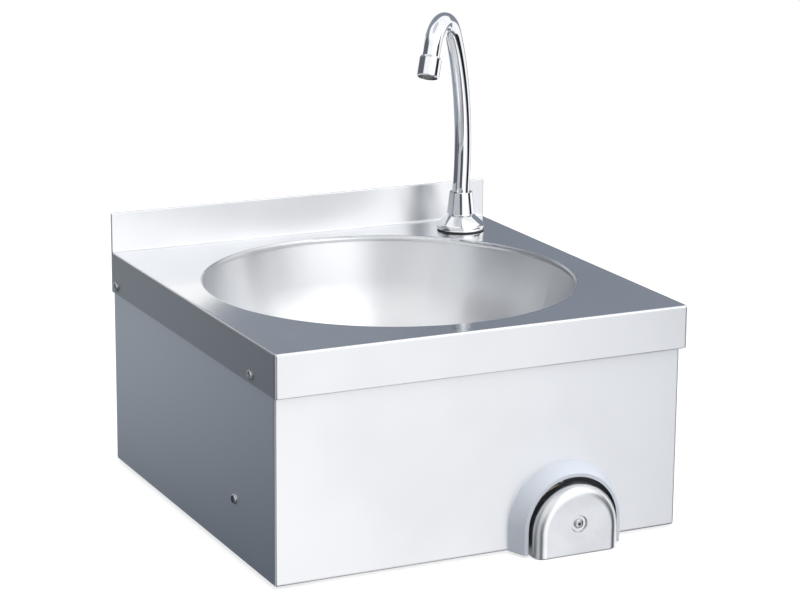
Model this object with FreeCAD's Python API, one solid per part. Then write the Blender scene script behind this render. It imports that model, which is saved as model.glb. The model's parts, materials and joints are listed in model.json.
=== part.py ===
import FreeCAD, Part
import math
import os

from FreeCAD import Placement, Rotation, Vector

# Wall-hung hand wash sink, worked by a push cover for the knee, with a swan-neck spout.
# Millimetres. +Z is up, +Y points into the wall, and the front faces -Y.
# The origin is the centre of the four wall fixing holes, on the wall plane y = 0.

# --- sheet steel -------------------------------------------------------------------------
width = 400.0                # across the deck, side to side
depth = 400.0                # from the wall to the front of the deck
body_height = 208.0          # from the deck's surface to the casing's bottom edge
deck_sheet = 1.2             # sheet of the deck, its apron and its upstand
casing_sheet = 1.2
bowl_sheet = 1.0
bracket_sheet = 2.0

apron_height = 39.5
apron_hem = 14.0             # height of the folded-back edge inside the apron
corner_radius = 3.0          # ground corners of the apron
edge_radius = 2.0            # bend between deck and apron

upstand_height = 38.5
upstand_hem = 10.0           # height of the leaf folded down behind the upstand
upstand_corner_radius = 2.0
upstand_foot_radius = 2.0

side_gap = 0.3               # between the apron's hem and the casing's side
front_setback = 8.0          # the casing's front panel stands behind the apron by this much
casing_bend = 2.5            # outside radius of the casing's bends
top_flange = 6.0             # narrow flanges on which the deck lies
bottom_return = 15.0
back_flange = 25.0           # flanges on the wall, with the fixing holes
fixing_drop = 110.0          # deck's surface to the centre of the fixing pattern
fixing_pitch = 100.0         # between upper and lower fixing holes
fixing_hole_r = 4.0

# --- bowl and waste ----------------------------------------------------------------------
opening_margin = 28.5        # deck's edge to the opening, at the sides
bowl_offset = 0.0            # the bowl's centre lies behind the deck's middle by this much
rim_roll = 3.0               # rolled-down edge of the deck's opening
rim_lip = 2.0                # straight stretch below the roll
bowl_flange = 6.5            # width of the flange under the deck, from the opening's edge
bowl_wall_depth = 45.0       # depth at which the straight wall ends
bowl_wall_draft = 14.0       # degrees
bowl_bend = 110.0            # large radius between wall and floor
bowl_floor_slope = 3.0       # degrees, towards the waste
waste_seat_r = 38.0
waste_seat_depth = 3.0
waste_hole_r = 25.5

strainer_r = 34.5
strainer_sheet = 1.5
strainer_well_r = 24.0
strainer_well_depth = 5.0
strainer_hole_r = 2.75
strainer_holes = 10
strainer_hole_circle = 16.0
waste_seal_thick = 2.0
waste_cup_r = 36.0
waste_cup_height = 17.0
waste_wall = 2.5
waste_thread_r = 23.9        # G 1 1/2 outside
waste_thread_length = 26.0
waste_hub_r = 6.0
waste_spokes = 3
waste_screw_r = 3.0
waste_screw_head_r = 6.0
waste_screw_head = 2.5

# --- screws through the apron and the casing ---------------------------------------------
screw_r = 2.0
screw_length = 14.0
screw_head_r = 4.6
screw_head = 2.2
screw_socket_r = 1.6
screw_fit = 0.05
apron_screw_drop = 31.5
apron_screw_back = 13.0      # wall to the rear screws
apron_screw_front = 54.0     # deck's front edge to the front screws
bracket_screw_back = 17.0    # behind the valve tab
bracket_screw_drop = 8.0     # below the bracket's upper face

# --- knee push ---------------------------------------------------------------------------
push_inset = 118.5           # deck's right-hand edge to the push's middle
push_rise = 26.5             # casing's bottom edge to the axis of the push rod
arch_rise = 22.0             # casing's bottom edge to the centre of the arch
travel = 8.0
cover_r = 42.0
cover_sink = 2.5             # the cover's arch stands below the hood's by this much
cover_drop = 2.5             # the cover's foot hangs below the casing by this much
cover_reach = 29.5           # cover's face ahead of the casing's front panel
cover_depth = 16.5
cover_sheet = 1.2
cover_edge = 10.0            # large radius round the cover's face
cover_foot_edge = 2.0        # small radius along the cover's foot
dimple_r = 7.0
dimple_depth = 2.0

hood_base_r = 55.2
hood_mouth_r = 48.0
hood_reach = 18.0
hood_wall = 3.5
hood_rim = 2.5               # thickness of the hood's inner rim on the panel
hood_rim_r = 34.5
hood_edge = 1.2
arch_r = 33.5                # cut-out in the casing's front panel
hood_screw_r = 1.5
hood_screw_head_r = 3.0
hood_screw_head = 1.8
hood_screw_length = 8.0
hood_screw_circle = 38.5
hood_screw_angles = (-90, -7, 90)   # from the crown

cover_screw_r = 2.5
cover_screw_head_r = 4.6
cover_screw_head = 2.0
cover_screw_length = 14.0
cover_screw_socket_r = 1.7

# --- valve behind the push cover, on its bracket -----------------------------------------
tab_setback = 73.0           # casing's front to the back face of the bracket's valve tab
bracket_rise = 33.5          # axis of the push rod to the bracket's upper face
bracket_width = 32.0
bracket_web = 14.0
bracket_end = 18.0
tab_half = 24.0
tab_foot = 22.0              # below the valve's axis
tab_corner = 8.0

running_gap = 0.05           # radial, of everything that slides or turns
thread_gap = 0.05            # radial, between a thread and its nut
valve_neck_r = 12.0          # M24 outside
valve_neck_length = 18.0
valve_r = 15.0
valve_shoulder_r = 17.0
valve_shoulder = 6.0
outlet_back = 17.0           # tab to the outlet's axis
seat_back = 11.0             # outlet's axis to the valve seat
seat_wall = 3.0
seat_r = 6.5
chamber_r = 11.0
front_chamber_r = 9.0
chamber_spare = 2.0          # room behind the open poppet
union_spigot_r = 12.0
union_spigot = 7.0
union_hex = 6.0
union_flats = 30.0
pipe_thread_r = 10.475       # G 1/2 outside
pipe_bore_r = 6.0
inlet_length = 15.0
outlet_reach = 29.0          # valve axis to the outlet's face
nut_thick = 7.0
nut_flats = 32.0
washer_thick = 1.5
washer_r = 16.0

bonnet_head = 6.0
bonnet_flats = 20.0
bonnet_key = 5.0             # depth of the keyed hole that stops the rod from turning
rod_r = 5.0
rod_flat = 4.2               # axis to the flat on the rod
rod_front_r = 6.5
rod_front_length = 31.5
rod_disc_r = 11.0
rod_disc = 3.0
rod_tip_r = 3.0
seal_ring_r = 0.9            # section of the rod's seal ring
seal_back = 3.0              # tab to the seal ring, behind the tab
poppet_r = 9.5
poppet_thick = 3.0
poppet_washer_r = 9.0
poppet_washer = 2.5
tip_nut_r = 5.0
tip_nut = 2.5
spring_cap_r = 10.5
spring_cap = 2.5
spring_wire_r = 0.8
spring_mean_r = 8.6
spring_turns = 5.5
spring_wire_sides = 6

# --- elbow and hose from the valve to the spout ------------------------------------------
elbow_r = 13.5
elbow_offset = 10.0          # outlet's face to the elbow's axis
elbow_socket = 12.0
elbow_shoulder = 15.0
elbow_length = 34.0          # elbow's axis to its rear face
hose_r = 6.0
hose_bore_r = 4.0
hose_bend = 80.0
hose_first_bend = 150.0
hose_straight = 76.0         # from the elbow to the first bend
ferrule_r = 7.6
ferrule_length = 23.0
ferrule_collar_r = 9.8
ferrule_collar = 2.0
hose_nut_flats = 24.0
hose_nut_length = 17.0
hose_nut_end = 3.0
hose_washer = 2.0

# --- tap ---------------------------------------------------------------------------------
tap_inset = 48.5             # deck's right-hand edge to the tap's axis
tap_back = 46.5              # wall to the tap's axis
tap_hole_r = 11.0
base_seal = 1.5
base_seal_r = 23.0
flange_r = 23.9
flange_rim = 4.0
flange_cone = 10.0
flange_top_r = 12.0
facets = 8
shank_drop = 48.0            # deck's surface to the shank's lower face
neck_height = 27.0
collar_low = 15.5
collar_height = 22.5
collar_low_r = 13.4
collar_top_r = 10.9
collar_chamfer = 2.2
collar_top_wall = 3.0
tap_washer_r = 17.0
tap_seal_thick = 2.5
tap_nut_flats = 27.0
tap_nut_thick = 8.0

spout_r = 8.5
spout_wall = 1.0
spout_foot = 24.0            # tube's lower end above the deck
spout_lean = 8.3             # degrees, the leg leans back by this much before it comes over
spout_lean_r = 90.0
spout_long_r = 213.0
spout_over = 34.0            # degrees, where the long bow meets the tight bend
spout_tight_r = 35.6
spout_outlet = 154.5         # degrees from upright, the outlet's direction
spout_end = 29.5             # from the tight bend to the outlet's face
spout_turn = 225.0           # degrees about +Z from +X, the way the spout points at rest
spigot_low = 3.0
spigot_bore_r = 5.5
spigot_ring_r = 0.9
spigot_ring_places = (8.0, 16.0)
bush_thick = 5.0
aerator_r = 11.0
aerator_length = 20.0
aerator_grip = 7.0           # length of the shell on the tube
aerator_bore_r = 9.6
aerator_edge = 0.8
insert_thick = 9.0
insert_recess = 1.0
insert_hole_r = 1.2
insert_holes = 6
insert_hole_circle = 5.2

# --- levels and places that follow -------------------------------------------------------
deck_top = fixing_drop
deck_under = deck_top - deck_sheet
casing_bottom = deck_top - body_height
apron_bottom = deck_top - apron_height
hem_thick = 2 * deck_sheet
deck_back = -hem_thick + deck_sheet
casing_half = width / 2 - hem_thick - side_gap
casing_front = -(depth - front_setback)
push_x = width / 2 - push_inset
push_z = casing_bottom + push_rise
arch_z = casing_bottom + arch_rise
tab_y = casing_front + tab_setback
tab_front = tab_y - bracket_sheet
bracket_top = push_z + bracket_rise
fixing_x = casing_half - back_flange / 2

opening_r = min(width, depth) / 2 - opening_margin
bowl_centre_y = bowl_offset - depth / 2
bowl_wall_r = opening_r + deck_sheet
bowl_flange_r = opening_r + bowl_flange
bowl_neck = rim_roll + rim_lip   # depth to which the bowl's wall is upright, round the deck's lip
tap_x = width / 2 - tap_inset
tap_centre = Vector(tap_x, -tap_back, deck_top)

cover_face = casing_front - cover_reach
cover_rear = cover_face + cover_depth
rod_front = cover_face + dimple_depth + cover_sheet
outlet_y = tab_y + outlet_back
seat_y = outlet_y + seat_back
seat_face = seat_y + seat_wall
chamber_length = poppet_washer + poppet_thick + tip_nut + travel + chamber_spare
union_front = seat_face + chamber_length
valve_rear = union_front + union_spigot
inlet_face = valve_rear + union_hex + inlet_length
bonnet_front = tab_y - valve_neck_length
bonnet_rear = tab_y + seal_back + 2 * seal_ring_r + 3.0
cap_front = rod_front + rod_disc + rod_front_length
elbow_x = push_x + outlet_reach + elbow_offset
elbow_face = outlet_y + elbow_length
shank_low = deck_top - shank_drop

X, Y, Z = Vector(1, 0, 0), Vector(0, 1, 0), Vector(0, 0, 1)


# --- shared shapes -----------------------------------------------------------------------
def block(x0, x1, y0, y1, z0, z1):
    return Part.makeBox(x1 - x0, y1 - y0, z1 - z0, Vector(x0, y0, z0))


def rod_between(radius, start, direction, length):
    return Part.makeCylinder(radius, length, start, direction)


def aimed(shape, place, direction):
    """Moves a shape made along +Z from the origin so that it starts at place and points along direction."""
    shape.Placement = Placement(place, Rotation(Z, direction))
    return shape


def turned(outline, place, direction):
    """Solid turned from an outline of (radius, height) points, closed by its last line."""
    points = [Vector(r, 0, h) for r, h in outline]
    face = Part.Face(Part.makePolygon(points + points[:1]))
    return aimed(face.revolve(Vector(), Z, 360), place, direction)


def ring(inner, outer, place, direction, height):
    return turned([(inner, 0), (outer, 0), (outer, height), (inner, height)], place, direction)


def prism(sides, flats, height, turn=0.0):
    """Regular prism from the origin along +Z, with the given distance across its flats."""
    corner_r = flats / 2 / math.cos(math.pi / sides)
    wire = polygon_wire(sides, corner_r, 0.0, turn)
    return Part.Face(wire).extrude(Z * height)


def polygon_wire(sides, corner_r, height, turn=0.0):
    angles = [math.radians(turn) + 2 * math.pi * (i + 0.5) / sides for i in range(sides)]
    points = [Vector(corner_r * math.cos(a), corner_r * math.sin(a), height) for a in angles]
    return Part.makePolygon(points + points[:1])


def rounded_nut(flats, height, bore_r, place, direction):
    """Hexagon nut whose corners are turned off at both ends."""
    corner_r = flats / 2 / math.cos(math.pi / 6)
    chamfer = corner_r - flats / 2
    barrel = turned([(0, 0), (flats / 2, 0), (corner_r, chamfer), (corner_r, height - chamfer),
                     (flats / 2, height), (0, height)], Vector(), Z)
    nut = prism(6, flats, height).common(barrel)
    return aimed(nut.cut(Part.makeCylinder(bore_r, height)), place, direction)


def pan_screw(head_r, head, shank_r, length, socket_r, place, direction):
    """Domed screw: place is the seat under its head, and direction points out of the head."""
    dome = turned([(0, 0), (head_r, 0), (head_r, 0.4 * head), (0.72 * head_r, 0.85 * head),
                   (0.4 * head_r, head), (0, head)], Vector(), Z)
    socket = prism(6, 2 * socket_r, head)
    socket.translate(Z * 0.4 * head)
    shank = Part.makeCylinder(shank_r, length, Z * -length)
    tip = Part.makeCone(0.6 * shank_r, shank_r, 0.4 * shank_r, Z * -(length + 0.4 * shank_r))
    return aimed(dome.cut(socket).fuse([shank, tip]).removeSplitter(), place, direction)


def arch_face(radius, foot, y, sink=0.0):
    """Arch-shaped face, round at the top and open down to the level foot, in the plane of y."""
    level = arch_z - sink
    left, right = Vector(push_x - radius, y, level), Vector(push_x + radius, y, level)
    crown = Vector(push_x, y, level + radius)
    low_left, low_right = Vector(left.x, y, foot), Vector(right.x, y, foot)
    edges = [Part.Arc(left, crown, right).toShape(), Part.makeLine(right, low_right),
             Part.makeLine(low_right, low_left), Part.makeLine(low_left, left)]
    return Part.Face(Part.Wire(edges))


def tangent_path(points, radii):
    """Wire of straight runs through the points, joined by tangent arcs of the given radii."""
    edges, start = [], points[0]
    for before, corner, after, radius in zip(points, points[1:], points[2:], radii):
        came, leaves = (corner - before).normalize(), (after - corner).normalize()
        half = came.getAngle(leaves) / 2
        reach = radius * math.tan(half)
        enter, leave = corner - came * reach, corner + leaves * reach
        inward = (leaves - came).normalize()
        middle = corner + inward * (radius / math.cos(half) - radius)
        edges += [Part.makeLine(start, enter), Part.Arc(enter, middle, leave).toShape()]
        start = leave
    return Part.Wire(edges + [Part.makeLine(start, points[-1])])


def tube_along(path, outer, inner):
    """Hollow tube along a smooth wire."""
    start, direction = path.Vertexes[0].Point, path.Edges[0].tangentAt(path.Edges[0].FirstParameter)
    solids = []
    for radius in (outer, inner):
        circle = Part.Wire(Part.makeCircle(radius, start, direction))
        solids.append(path.makePipeShell([circle], True, False))
    return solids[0].cut(solids[1])


def one_group(shapes):
    return Part.makeCompound(shapes)


def edges_where(shape, test):
    return [edge for edge in shape.Edges if test(edge)]


def along(edge, direction):
    """True for a straight edge that runs along direction."""
    if not isinstance(edge.Curve, Part.Line):
        return False
    return abs(abs(edge.tangentAt(edge.FirstParameter).dot(direction)) - 1) < 1e-6


# --- places of fasteners -----------------------------------------------------------------
def apron_screw_places():
    return [(side, Vector(side * width / 2, y, deck_top - apron_screw_drop))
            for side in (-1, 1) for y in (-apron_screw_back, apron_screw_front - depth)]


def bracket_screw_places():
    return [(side, Vector(side * casing_half, tab_y + bracket_screw_back, bracket_top - bracket_screw_drop))
            for side in (-1, 1)]


def hood_screw_places():
    """On the hood's rim: one at the crown and one at each side of the arch."""
    seat = casing_front - hood_rim
    return [Vector(push_x + hood_screw_circle * math.sin(math.radians(a)), seat,
                   arch_z + hood_screw_circle * math.cos(math.radians(a))) for a in hood_screw_angles]


def fixing_places():
    return [Vector(sx * fixing_x, 0, sz * fixing_pitch / 2) for sx in (-1, 1) for sz in (-1, 1)]


# --- sheet steel body --------------------------------------------------------------------
def tray(half, front, back, bottom, top, corner, edge):
    """Box with rounded front corners and rounded upper edges, open forms are cut from it."""
    box = block(-half, half, front, back, bottom, top)
    uprights = edges_where(box, lambda e: along(e, Z) and abs(e.CenterOfMass.y - front) < 1e-6)
    box = box.makeFillet(corner, uprights)
    rim = edges_where(box, lambda e: abs(e.CenterOfMass.z - top) < 1e-6 and e.CenterOfMass.y < back - 1e-6)
    return box.makeFillet(edge, rim)


def rolled_opening():
    """The deck's edge, rolled down round the opening: a turned ring of sheet thickness."""
    hub, slant = Vector(opening_r + rim_roll, 0, -rim_roll), Vector(-math.sqrt(0.5), 0, math.sqrt(0.5))
    tops, sides, lows, arcs = [], [], [], []
    for radius in (rim_roll, rim_roll - deck_sheet):
        tops.append(hub + Z * radius)
        sides.append(hub - X * radius)
        lows.append(hub - X * radius - Z * rim_lip)
        arcs.append(Part.Arc(tops[-1], hub + slant * radius, sides[-1]).toShape())
    edges = arcs + [Part.makeLine(side, low) for side, low in zip(sides, lows)]
    edges += [Part.makeLine(*tops), Part.makeLine(*lows)]
    roll = Part.Face(Part.Wire(Part.__sortEdges__(edges))).revolve(Vector(), Z, 360)
    roll.translate(Vector(0, bowl_centre_y, deck_top))
    return roll


def top_deck():
    t, half = deck_sheet, width / 2
    shell = tray(half, -depth, deck_back, apron_bottom, deck_top, corner_radius, edge_radius)
    fold = edges_where(shell, lambda e: abs(e.BoundBox.ZMax - apron_bottom) < 1e-4
                       and e.CenterOfMass.y < deck_back - 1e-3)
    shell = shell.makeFillet(hem_thick / 2 - 0.05, fold)
    shell = shell.cut(tray(half - t, -depth + t, t, apron_bottom - t, deck_top - t,
                           corner_radius - t, edge_radius - t))
    hem = tray(half - t, -depth + t, deck_back, apron_bottom, apron_bottom + apron_hem,
               corner_radius - t, 0.01)
    hem = hem.cut(block(-half + hem_thick, half - hem_thick, -depth + hem_thick, t,
                        apron_bottom - t, apron_bottom + apron_hem + t))
    upstand = block(-half, half, -hem_thick, deck_back, deck_under, deck_top + upstand_height)
    leaf = block(-half, half, deck_back, 0, deck_top + upstand_height - upstand_hem,
                 deck_top + upstand_height)
    back = upstand.fuse(leaf).removeSplitter()
    top_z = deck_top + upstand_height
    ends = edges_where(back, lambda e: along(e, Y) and abs(e.CenterOfMass.z - top_z) < 1e-6)
    back = back.makeFillet(upstand_corner_radius, ends)
    brow = edges_where(back, lambda e: along(e, X) and abs(e.CenterOfMass.z - top_z) < 1e-6)
    back = back.makeFillet(hem_thick / 2 - 0.1, brow)

    deck = shell.fuse([hem, back]).removeSplitter()
    foot = edges_where(deck, lambda e: along(e, X) and abs(e.CenterOfMass.z - deck_top) < 1e-6
                       and abs(e.CenterOfMass.y + hem_thick) < 1e-6)
    deck = deck.makeFillet(upstand_foot_radius, foot)
    opening = Vector(0, bowl_centre_y, deck_under - t)
    deck = deck.cut(Part.makeCylinder(opening_r + rim_roll, 3 * t, opening))
    deck = deck.fuse(rolled_opening()).removeSplitter()
    deck = deck.cut(Part.makeCylinder(tap_hole_r, 3 * t, tap_centre - Z * 2 * t))
    for side, place in apron_screw_places():
        deck = deck.cut(rod_between(screw_r + screw_fit, place + X * side, X * -side, 2 * hem_thick))
    return deck


def bowl_bend_line(offset=0.0):
    """Start, middle and end of the large bend between wall and floor, at an offset from the inside."""
    draft, floor = math.radians(bowl_wall_draft), math.radians(90 - bowl_floor_slope)
    wall_r = bowl_wall_r - (bowl_wall_depth - bowl_neck) * math.tan(draft)
    hub = Vector(wall_r - bowl_bend * math.cos(draft), 0, -bowl_wall_depth + bowl_bend * math.sin(draft))
    radius = bowl_bend + offset
    return [hub + Vector(radius * math.cos(a), 0, -radius * math.sin(a))
            for a in (draft, (draft + floor) / 2, floor)]


def waste_seat_level():
    """Depth of the waste seat's upper face below the deck's surface."""
    end = bowl_bend_line()[-1]
    return waste_seat_depth - end.z + (end.x - waste_seat_r) * math.tan(math.radians(bowl_floor_slope))


def bowl_outline(offset):
    """Half outline of the bowl from the flange's level to its waste hole, at an offset from the inside.
    Heights are below the deck's surface. The neck nests in the deck's rolled edge."""
    roll_hub, roll = Vector(opening_r + rim_roll, 0, -rim_roll), rim_roll - deck_sheet - offset
    slant = Vector(-math.sqrt(0.5), 0, math.sqrt(0.5))
    roll_top, roll_side = roll_hub + Z * roll, roll_hub - X * roll
    start, middle, end = bowl_bend_line(offset)
    neck_low = -bowl_neck - offset * math.tan(math.radians(bowl_wall_draft / 2))
    neck = Vector(roll_side.x, 0, neck_low)
    seat_r, seat_z = waste_seat_r + offset, -waste_seat_level() - offset
    rim = Vector(seat_r, 0, end.z - (end.x - seat_r) * math.tan(math.radians(bowl_floor_slope)))
    seat, hole = Vector(seat_r, 0, seat_z), Vector(waste_hole_r, 0, seat_z)
    return [Part.Arc(roll_top, roll_hub + slant * roll, roll_side).toShape(),
            Part.makeLine(roll_side, neck), Part.makeLine(neck, start),
            Part.Arc(start, middle, end).toShape(),
            Part.makeLine(end, rim), Part.makeLine(rim, seat), Part.makeLine(seat, hole)]


def bowl():
    """Pressed bowl with a flange under the deck and a sunk seat for the waste."""
    inside, outside = bowl_outline(0.0), bowl_outline(bowl_sheet)
    corners = [Vector(opening_r + rim_roll, 0, -deck_sheet), Vector(bowl_flange_r, 0, -deck_sheet),
               Vector(bowl_flange_r, 0, -deck_sheet - bowl_sheet),
               Vector(opening_r + rim_roll, 0, -deck_sheet - bowl_sheet)]
    flange = [Part.makeLine(a, b) for a, b in zip(corners, corners[1:])]
    seat_z = -waste_seat_level()
    hole = Part.makeLine(Vector(waste_hole_r, 0, seat_z), Vector(waste_hole_r, 0, seat_z - bowl_sheet))
    profile = Part.Face(Part.Wire(Part.__sortEdges__(inside + outside + flange + [hole])))
    solid = profile.revolve(Vector(), Z, 360)
    solid.translate(Vector(0, bowl_centre_y, deck_top))
    return solid


def casing():
    t, half = casing_sheet, casing_half
    shell = block(-half, half, casing_front, 0, casing_bottom, deck_under)
    uprights = edges_where(shell, lambda e: along(e, Z) and e.CenterOfMass.y < casing_front + 1)
    shell = shell.makeFillet(casing_bend, uprights)
    low = edges_where(shell, lambda e: e.CenterOfMass.z < casing_bottom + 1e-6
                      and e.CenterOfMass.y < -1e-6)
    shell = shell.makeFillet(casing_bend, low)
    hollow = block(-half + t, half - t, casing_front + t, -t, casing_bottom + t, deck_under - t)
    uprights = edges_where(hollow, lambda e: along(e, Z) and e.CenterOfMass.y < casing_front + 2 * t)
    hollow = hollow.makeFillet(casing_bend - t, uprights)
    low = edges_where(hollow, lambda e: e.CenterOfMass.z < casing_bottom + t + 1e-6
                      and e.CenterOfMass.y < -t - 1e-6)
    hollow = hollow.makeFillet(casing_bend - t, low)
    shell = shell.cut(hollow)
    inner = half - bottom_return
    shell = shell.cut(block(-inner, inner, casing_front + bottom_return, t,
                            casing_bottom - t, casing_bottom + 2 * t))
    inner = half - top_flange
    shell = shell.cut(block(-inner, inner, casing_front + top_flange, -t,
                            deck_under - 2 * t, deck_under + t))
    inner = half - back_flange
    shell = shell.cut(block(-inner, inner, -2 * t, t, casing_bottom - t, deck_under + t))

    cut_out = arch_face(arch_r, casing_bottom - t, casing_front - t)
    shell = shell.cut(cut_out.extrude(Y * (bottom_return + 2 * t)))
    for place in fixing_places():
        shell = shell.cut(rod_between(fixing_hole_r, place + Y * t, Y * -1, 3 * t))
    for side, place in apron_screw_places() + bracket_screw_places():
        start = Vector(side * (half + t), place.y, place.z)
        shell = shell.cut(rod_between(screw_r + screw_fit, start, X * -side, 3 * t))
    for place in hood_screw_places():
        shell = shell.cut(rod_between(hood_screw_r + screw_fit, place, Y, hood_rim + 2 * t))
    return shell


def apron_screws():
    return one_group([pan_screw(screw_head_r, screw_head, screw_r, screw_length, screw_socket_r,
                                place, X * side) for side, place in apron_screw_places()])


def bracket_screws():
    return one_group([pan_screw(screw_head_r, screw_head, screw_r, screw_length, screw_socket_r,
                                place, X * side) for side, place in bracket_screw_places()])


# --- waste -------------------------------------------------------------------------------
def waste_place(drop):
    """Point on the waste's axis, the given distance below the waste seat's upper face."""
    return Vector(0, bowl_centre_y, deck_top - waste_seat_level() - drop)


def waste_strainer():
    t, well = strainer_sheet, strainer_well_r
    low = -strainer_well_depth
    lift = waste_seal_thick / 2
    outline = [(waste_screw_r + screw_fit, low), (well - 2.5, low), (well, 0), (strainer_r, 0),
               (strainer_r - 1.2, t), (well + 0.8, t), (well - 1.8, low + t),
               (waste_screw_r + screw_fit, low + t)]
    plate = turned(outline, waste_place(-lift), Z)
    for circle, count in ((strainer_hole_circle, strainer_holes), (strainer_hole_circle / 2, strainer_holes // 2)):
        for i in range(count):
            angle = 2 * math.pi * i / count
            spot = waste_place(-lift) + Vector(circle * math.cos(angle), circle * math.sin(angle), low - t)
            plate = plate.cut(Part.makeCylinder(strainer_hole_r, 3 * t, spot))
    return plate


def waste_top_seal():
    return ring(strainer_well_r + 0.2, strainer_r - 1, waste_place(0), Z, waste_seal_thick / 2)


def waste_low_seal():
    low = bowl_sheet + waste_seal_thick
    return ring(waste_hole_r + 1, waste_cup_r, waste_place(low), Z, waste_seal_thick)


def waste_cup_top():
    return bowl_sheet + waste_seal_thick


def waste_body():
    """Cup under the bowl with a threaded outlet, and a hub on spokes for the centre screw."""
    wall, cup_r, thread_r = waste_wall, waste_cup_r, waste_thread_r
    floor = waste_cup_height
    outline = [(waste_hole_r + 1, 0), (cup_r, 0), (cup_r, -3), (waste_hole_r + 1 + wall, -6),
               (waste_hole_r + 1 + wall, -floor), (thread_r, -floor - 2), (thread_r, -floor - waste_thread_length),
               (thread_r - wall, -floor - waste_thread_length), (thread_r - wall, -floor),
               (waste_hole_r + 1, -floor + wall)]
    top = waste_place(waste_cup_top())
    body = turned(outline, top, Z)
    hub_top, hub_height = strainer_well_depth, 10.0
    hub_place = waste_place(hub_top)
    hub = Part.makeCylinder(waste_hub_r, hub_height, hub_place, Z * -1)
    pieces = [hub]
    for i in range(waste_spokes):
        spoke = block(0, waste_hole_r + 1 + wall / 2, -wall / 2, wall / 2, -hub_height, -2.0)
        spoke.rotate(Vector(), Z, 90 + 360 * i / waste_spokes)
        spoke.translate(hub_place)
        pieces.append(spoke)
    body = body.fuse(pieces)
    hole = Part.makeCylinder(waste_screw_r + screw_fit, hub_height + 2, hub_place + Z, Z * -1)
    return body.cut(hole).removeSplitter()


def waste_screw():
    seat = waste_place(-waste_seal_thick / 2 + strainer_well_depth - strainer_sheet)
    length = strainer_sheet + 10.0
    return pan_screw(waste_screw_head_r, waste_screw_head, waste_screw_r, length, 2.0, seat, Z)


# --- knee push ---------------------------------------------------------------------------
def push_hood():
    """Tapered arch round the push cover, with an inner rim that lies on the front panel."""
    foot, below = casing_bottom, casing_bottom - hood_base_r
    mouth = casing_front - hood_reach
    outer = Part.makeLoft([arch_face(hood_base_r, foot, casing_front).OuterWire,
                           arch_face(hood_mouth_r, foot, mouth).OuterWire], True, True)
    lip = edges_where(outer, lambda e: e.CenterOfMass.y < mouth + 1e-6 and e.CenterOfMass.z > foot + 1e-6)
    outer = outer.makeFillet(hood_edge, lip)
    rim = casing_front - hood_rim
    taper = (hood_base_r - hood_mouth_r) / hood_reach
    base_in = hood_base_r - hood_wall - taper * hood_rim
    mouth_in = hood_mouth_r - hood_wall
    inner = Part.makeLoft([arch_face(base_in, below, rim).OuterWire,
                           arch_face(mouth_in, below, mouth).OuterWire], True, True)
    window = arch_face(hood_rim_r, below, mouth).extrude(Y * 2 * hood_reach)
    hood = outer.cut(inner).cut(window)
    for place in hood_screw_places():
        hood = hood.cut(rod_between(hood_screw_r + 2 * screw_fit, place - Y, Y, hood_rim + 2))
    return hood


def hood_screws():
    return one_group([pan_screw(hood_screw_head_r, hood_screw_head, hood_screw_r, hood_screw_length,
                                1.0, place, Y * -1) for place in hood_screw_places()])


def cover_form(shrink, rear):
    """The push cover's outside, or with shrink its inside, reaching back to rear."""
    face_y, foot = cover_face + shrink, casing_bottom - cover_drop + shrink
    solid = arch_face(cover_r - shrink, foot, face_y, cover_sink).extrude(Y * (rear - face_y))
    front = edges_where(solid, lambda e: e.CenterOfMass.y < face_y + 1e-6 and e.CenterOfMass.z > foot + 1e-6)
    solid = solid.makeFillet(cover_edge - shrink, front)
    low = edges_where(solid, lambda e: abs(e.BoundBox.ZMax - foot) < 1e-4 and e.CenterOfMass.y < rear - 1e-3)
    return solid.makeFillet(cover_foot_edge - shrink, low)


def push_cover():
    """Pressed D-shaped cover, open behind, with a dimple for its screw."""
    axis_front = Vector(push_x, cover_face, push_z)
    shell = cover_form(0.0, cover_rear).cut(cover_form(cover_sheet, cover_rear + 1))
    cup = turned([(0, 0), (dimple_r + cover_sheet + 1, 0), (dimple_r + cover_sheet, dimple_depth + cover_sheet),
                  (0, dimple_depth + cover_sheet)], axis_front, Y)
    hollow = turned([(0, -1), (dimple_r + 1, -1), (dimple_r + 1, 0), (dimple_r, dimple_depth), (0, dimple_depth)],
                    axis_front, Y)
    shell = shell.fuse(cup).cut(hollow)
    hole = rod_between(cover_screw_r + screw_fit, axis_front, Y, dimple_depth + 3 * cover_sheet)
    return shell.cut(hole).removeSplitter()


def cover_screw():
    seat = Vector(push_x, cover_face + dimple_depth, push_z)
    return pan_screw(cover_screw_head_r, cover_screw_head, cover_screw_r, cover_screw_length,
                     cover_screw_socket_r, seat, Y * -1)


def on_push(y):
    """Point on the push rod's axis."""
    return Vector(push_x, y, push_z)


def rod_flat_cut(start, end, distance):
    """What a flat takes off a round bar between two planes of y."""
    far = 2 * rod_front_r
    return block(push_x - far, push_x + far, start, end, push_z + distance, push_z + distance + far)


def push_rod():
    rear = seat_face + poppet_washer + poppet_thick
    tip_start = seat_y - 1.0
    front = turned([(0, 0), (rod_disc_r, 0), (rod_disc_r, rod_disc - 1), (rod_front_r, rod_disc),
                    (rod_front_r, rod_disc + rod_front_length), (0, rod_disc + rod_front_length)],
                   on_push(rod_front), Y)
    stem = rod_between(rod_r, on_push(cap_front), Y, tip_start - cap_front)
    tip = rod_between(rod_tip_r, on_push(tip_start), Y, rear + tip_nut - tip_start)
    rod = front.fuse([stem, tip]).removeSplitter()
    keyed = bonnet_front - bonnet_head
    rod = rod.cut(rod_flat_cut(keyed - travel - 2, keyed + bonnet_key + 1, rod_flat))
    depth_needed = cover_screw_length + 2
    return rod.cut(rod_between(cover_screw_r + screw_fit, on_push(rod_front - 1), Y, depth_needed))


def spring_cap_ring():
    return ring(rod_r, spring_cap_r, on_push(cap_front), Y, spring_cap)


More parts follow.
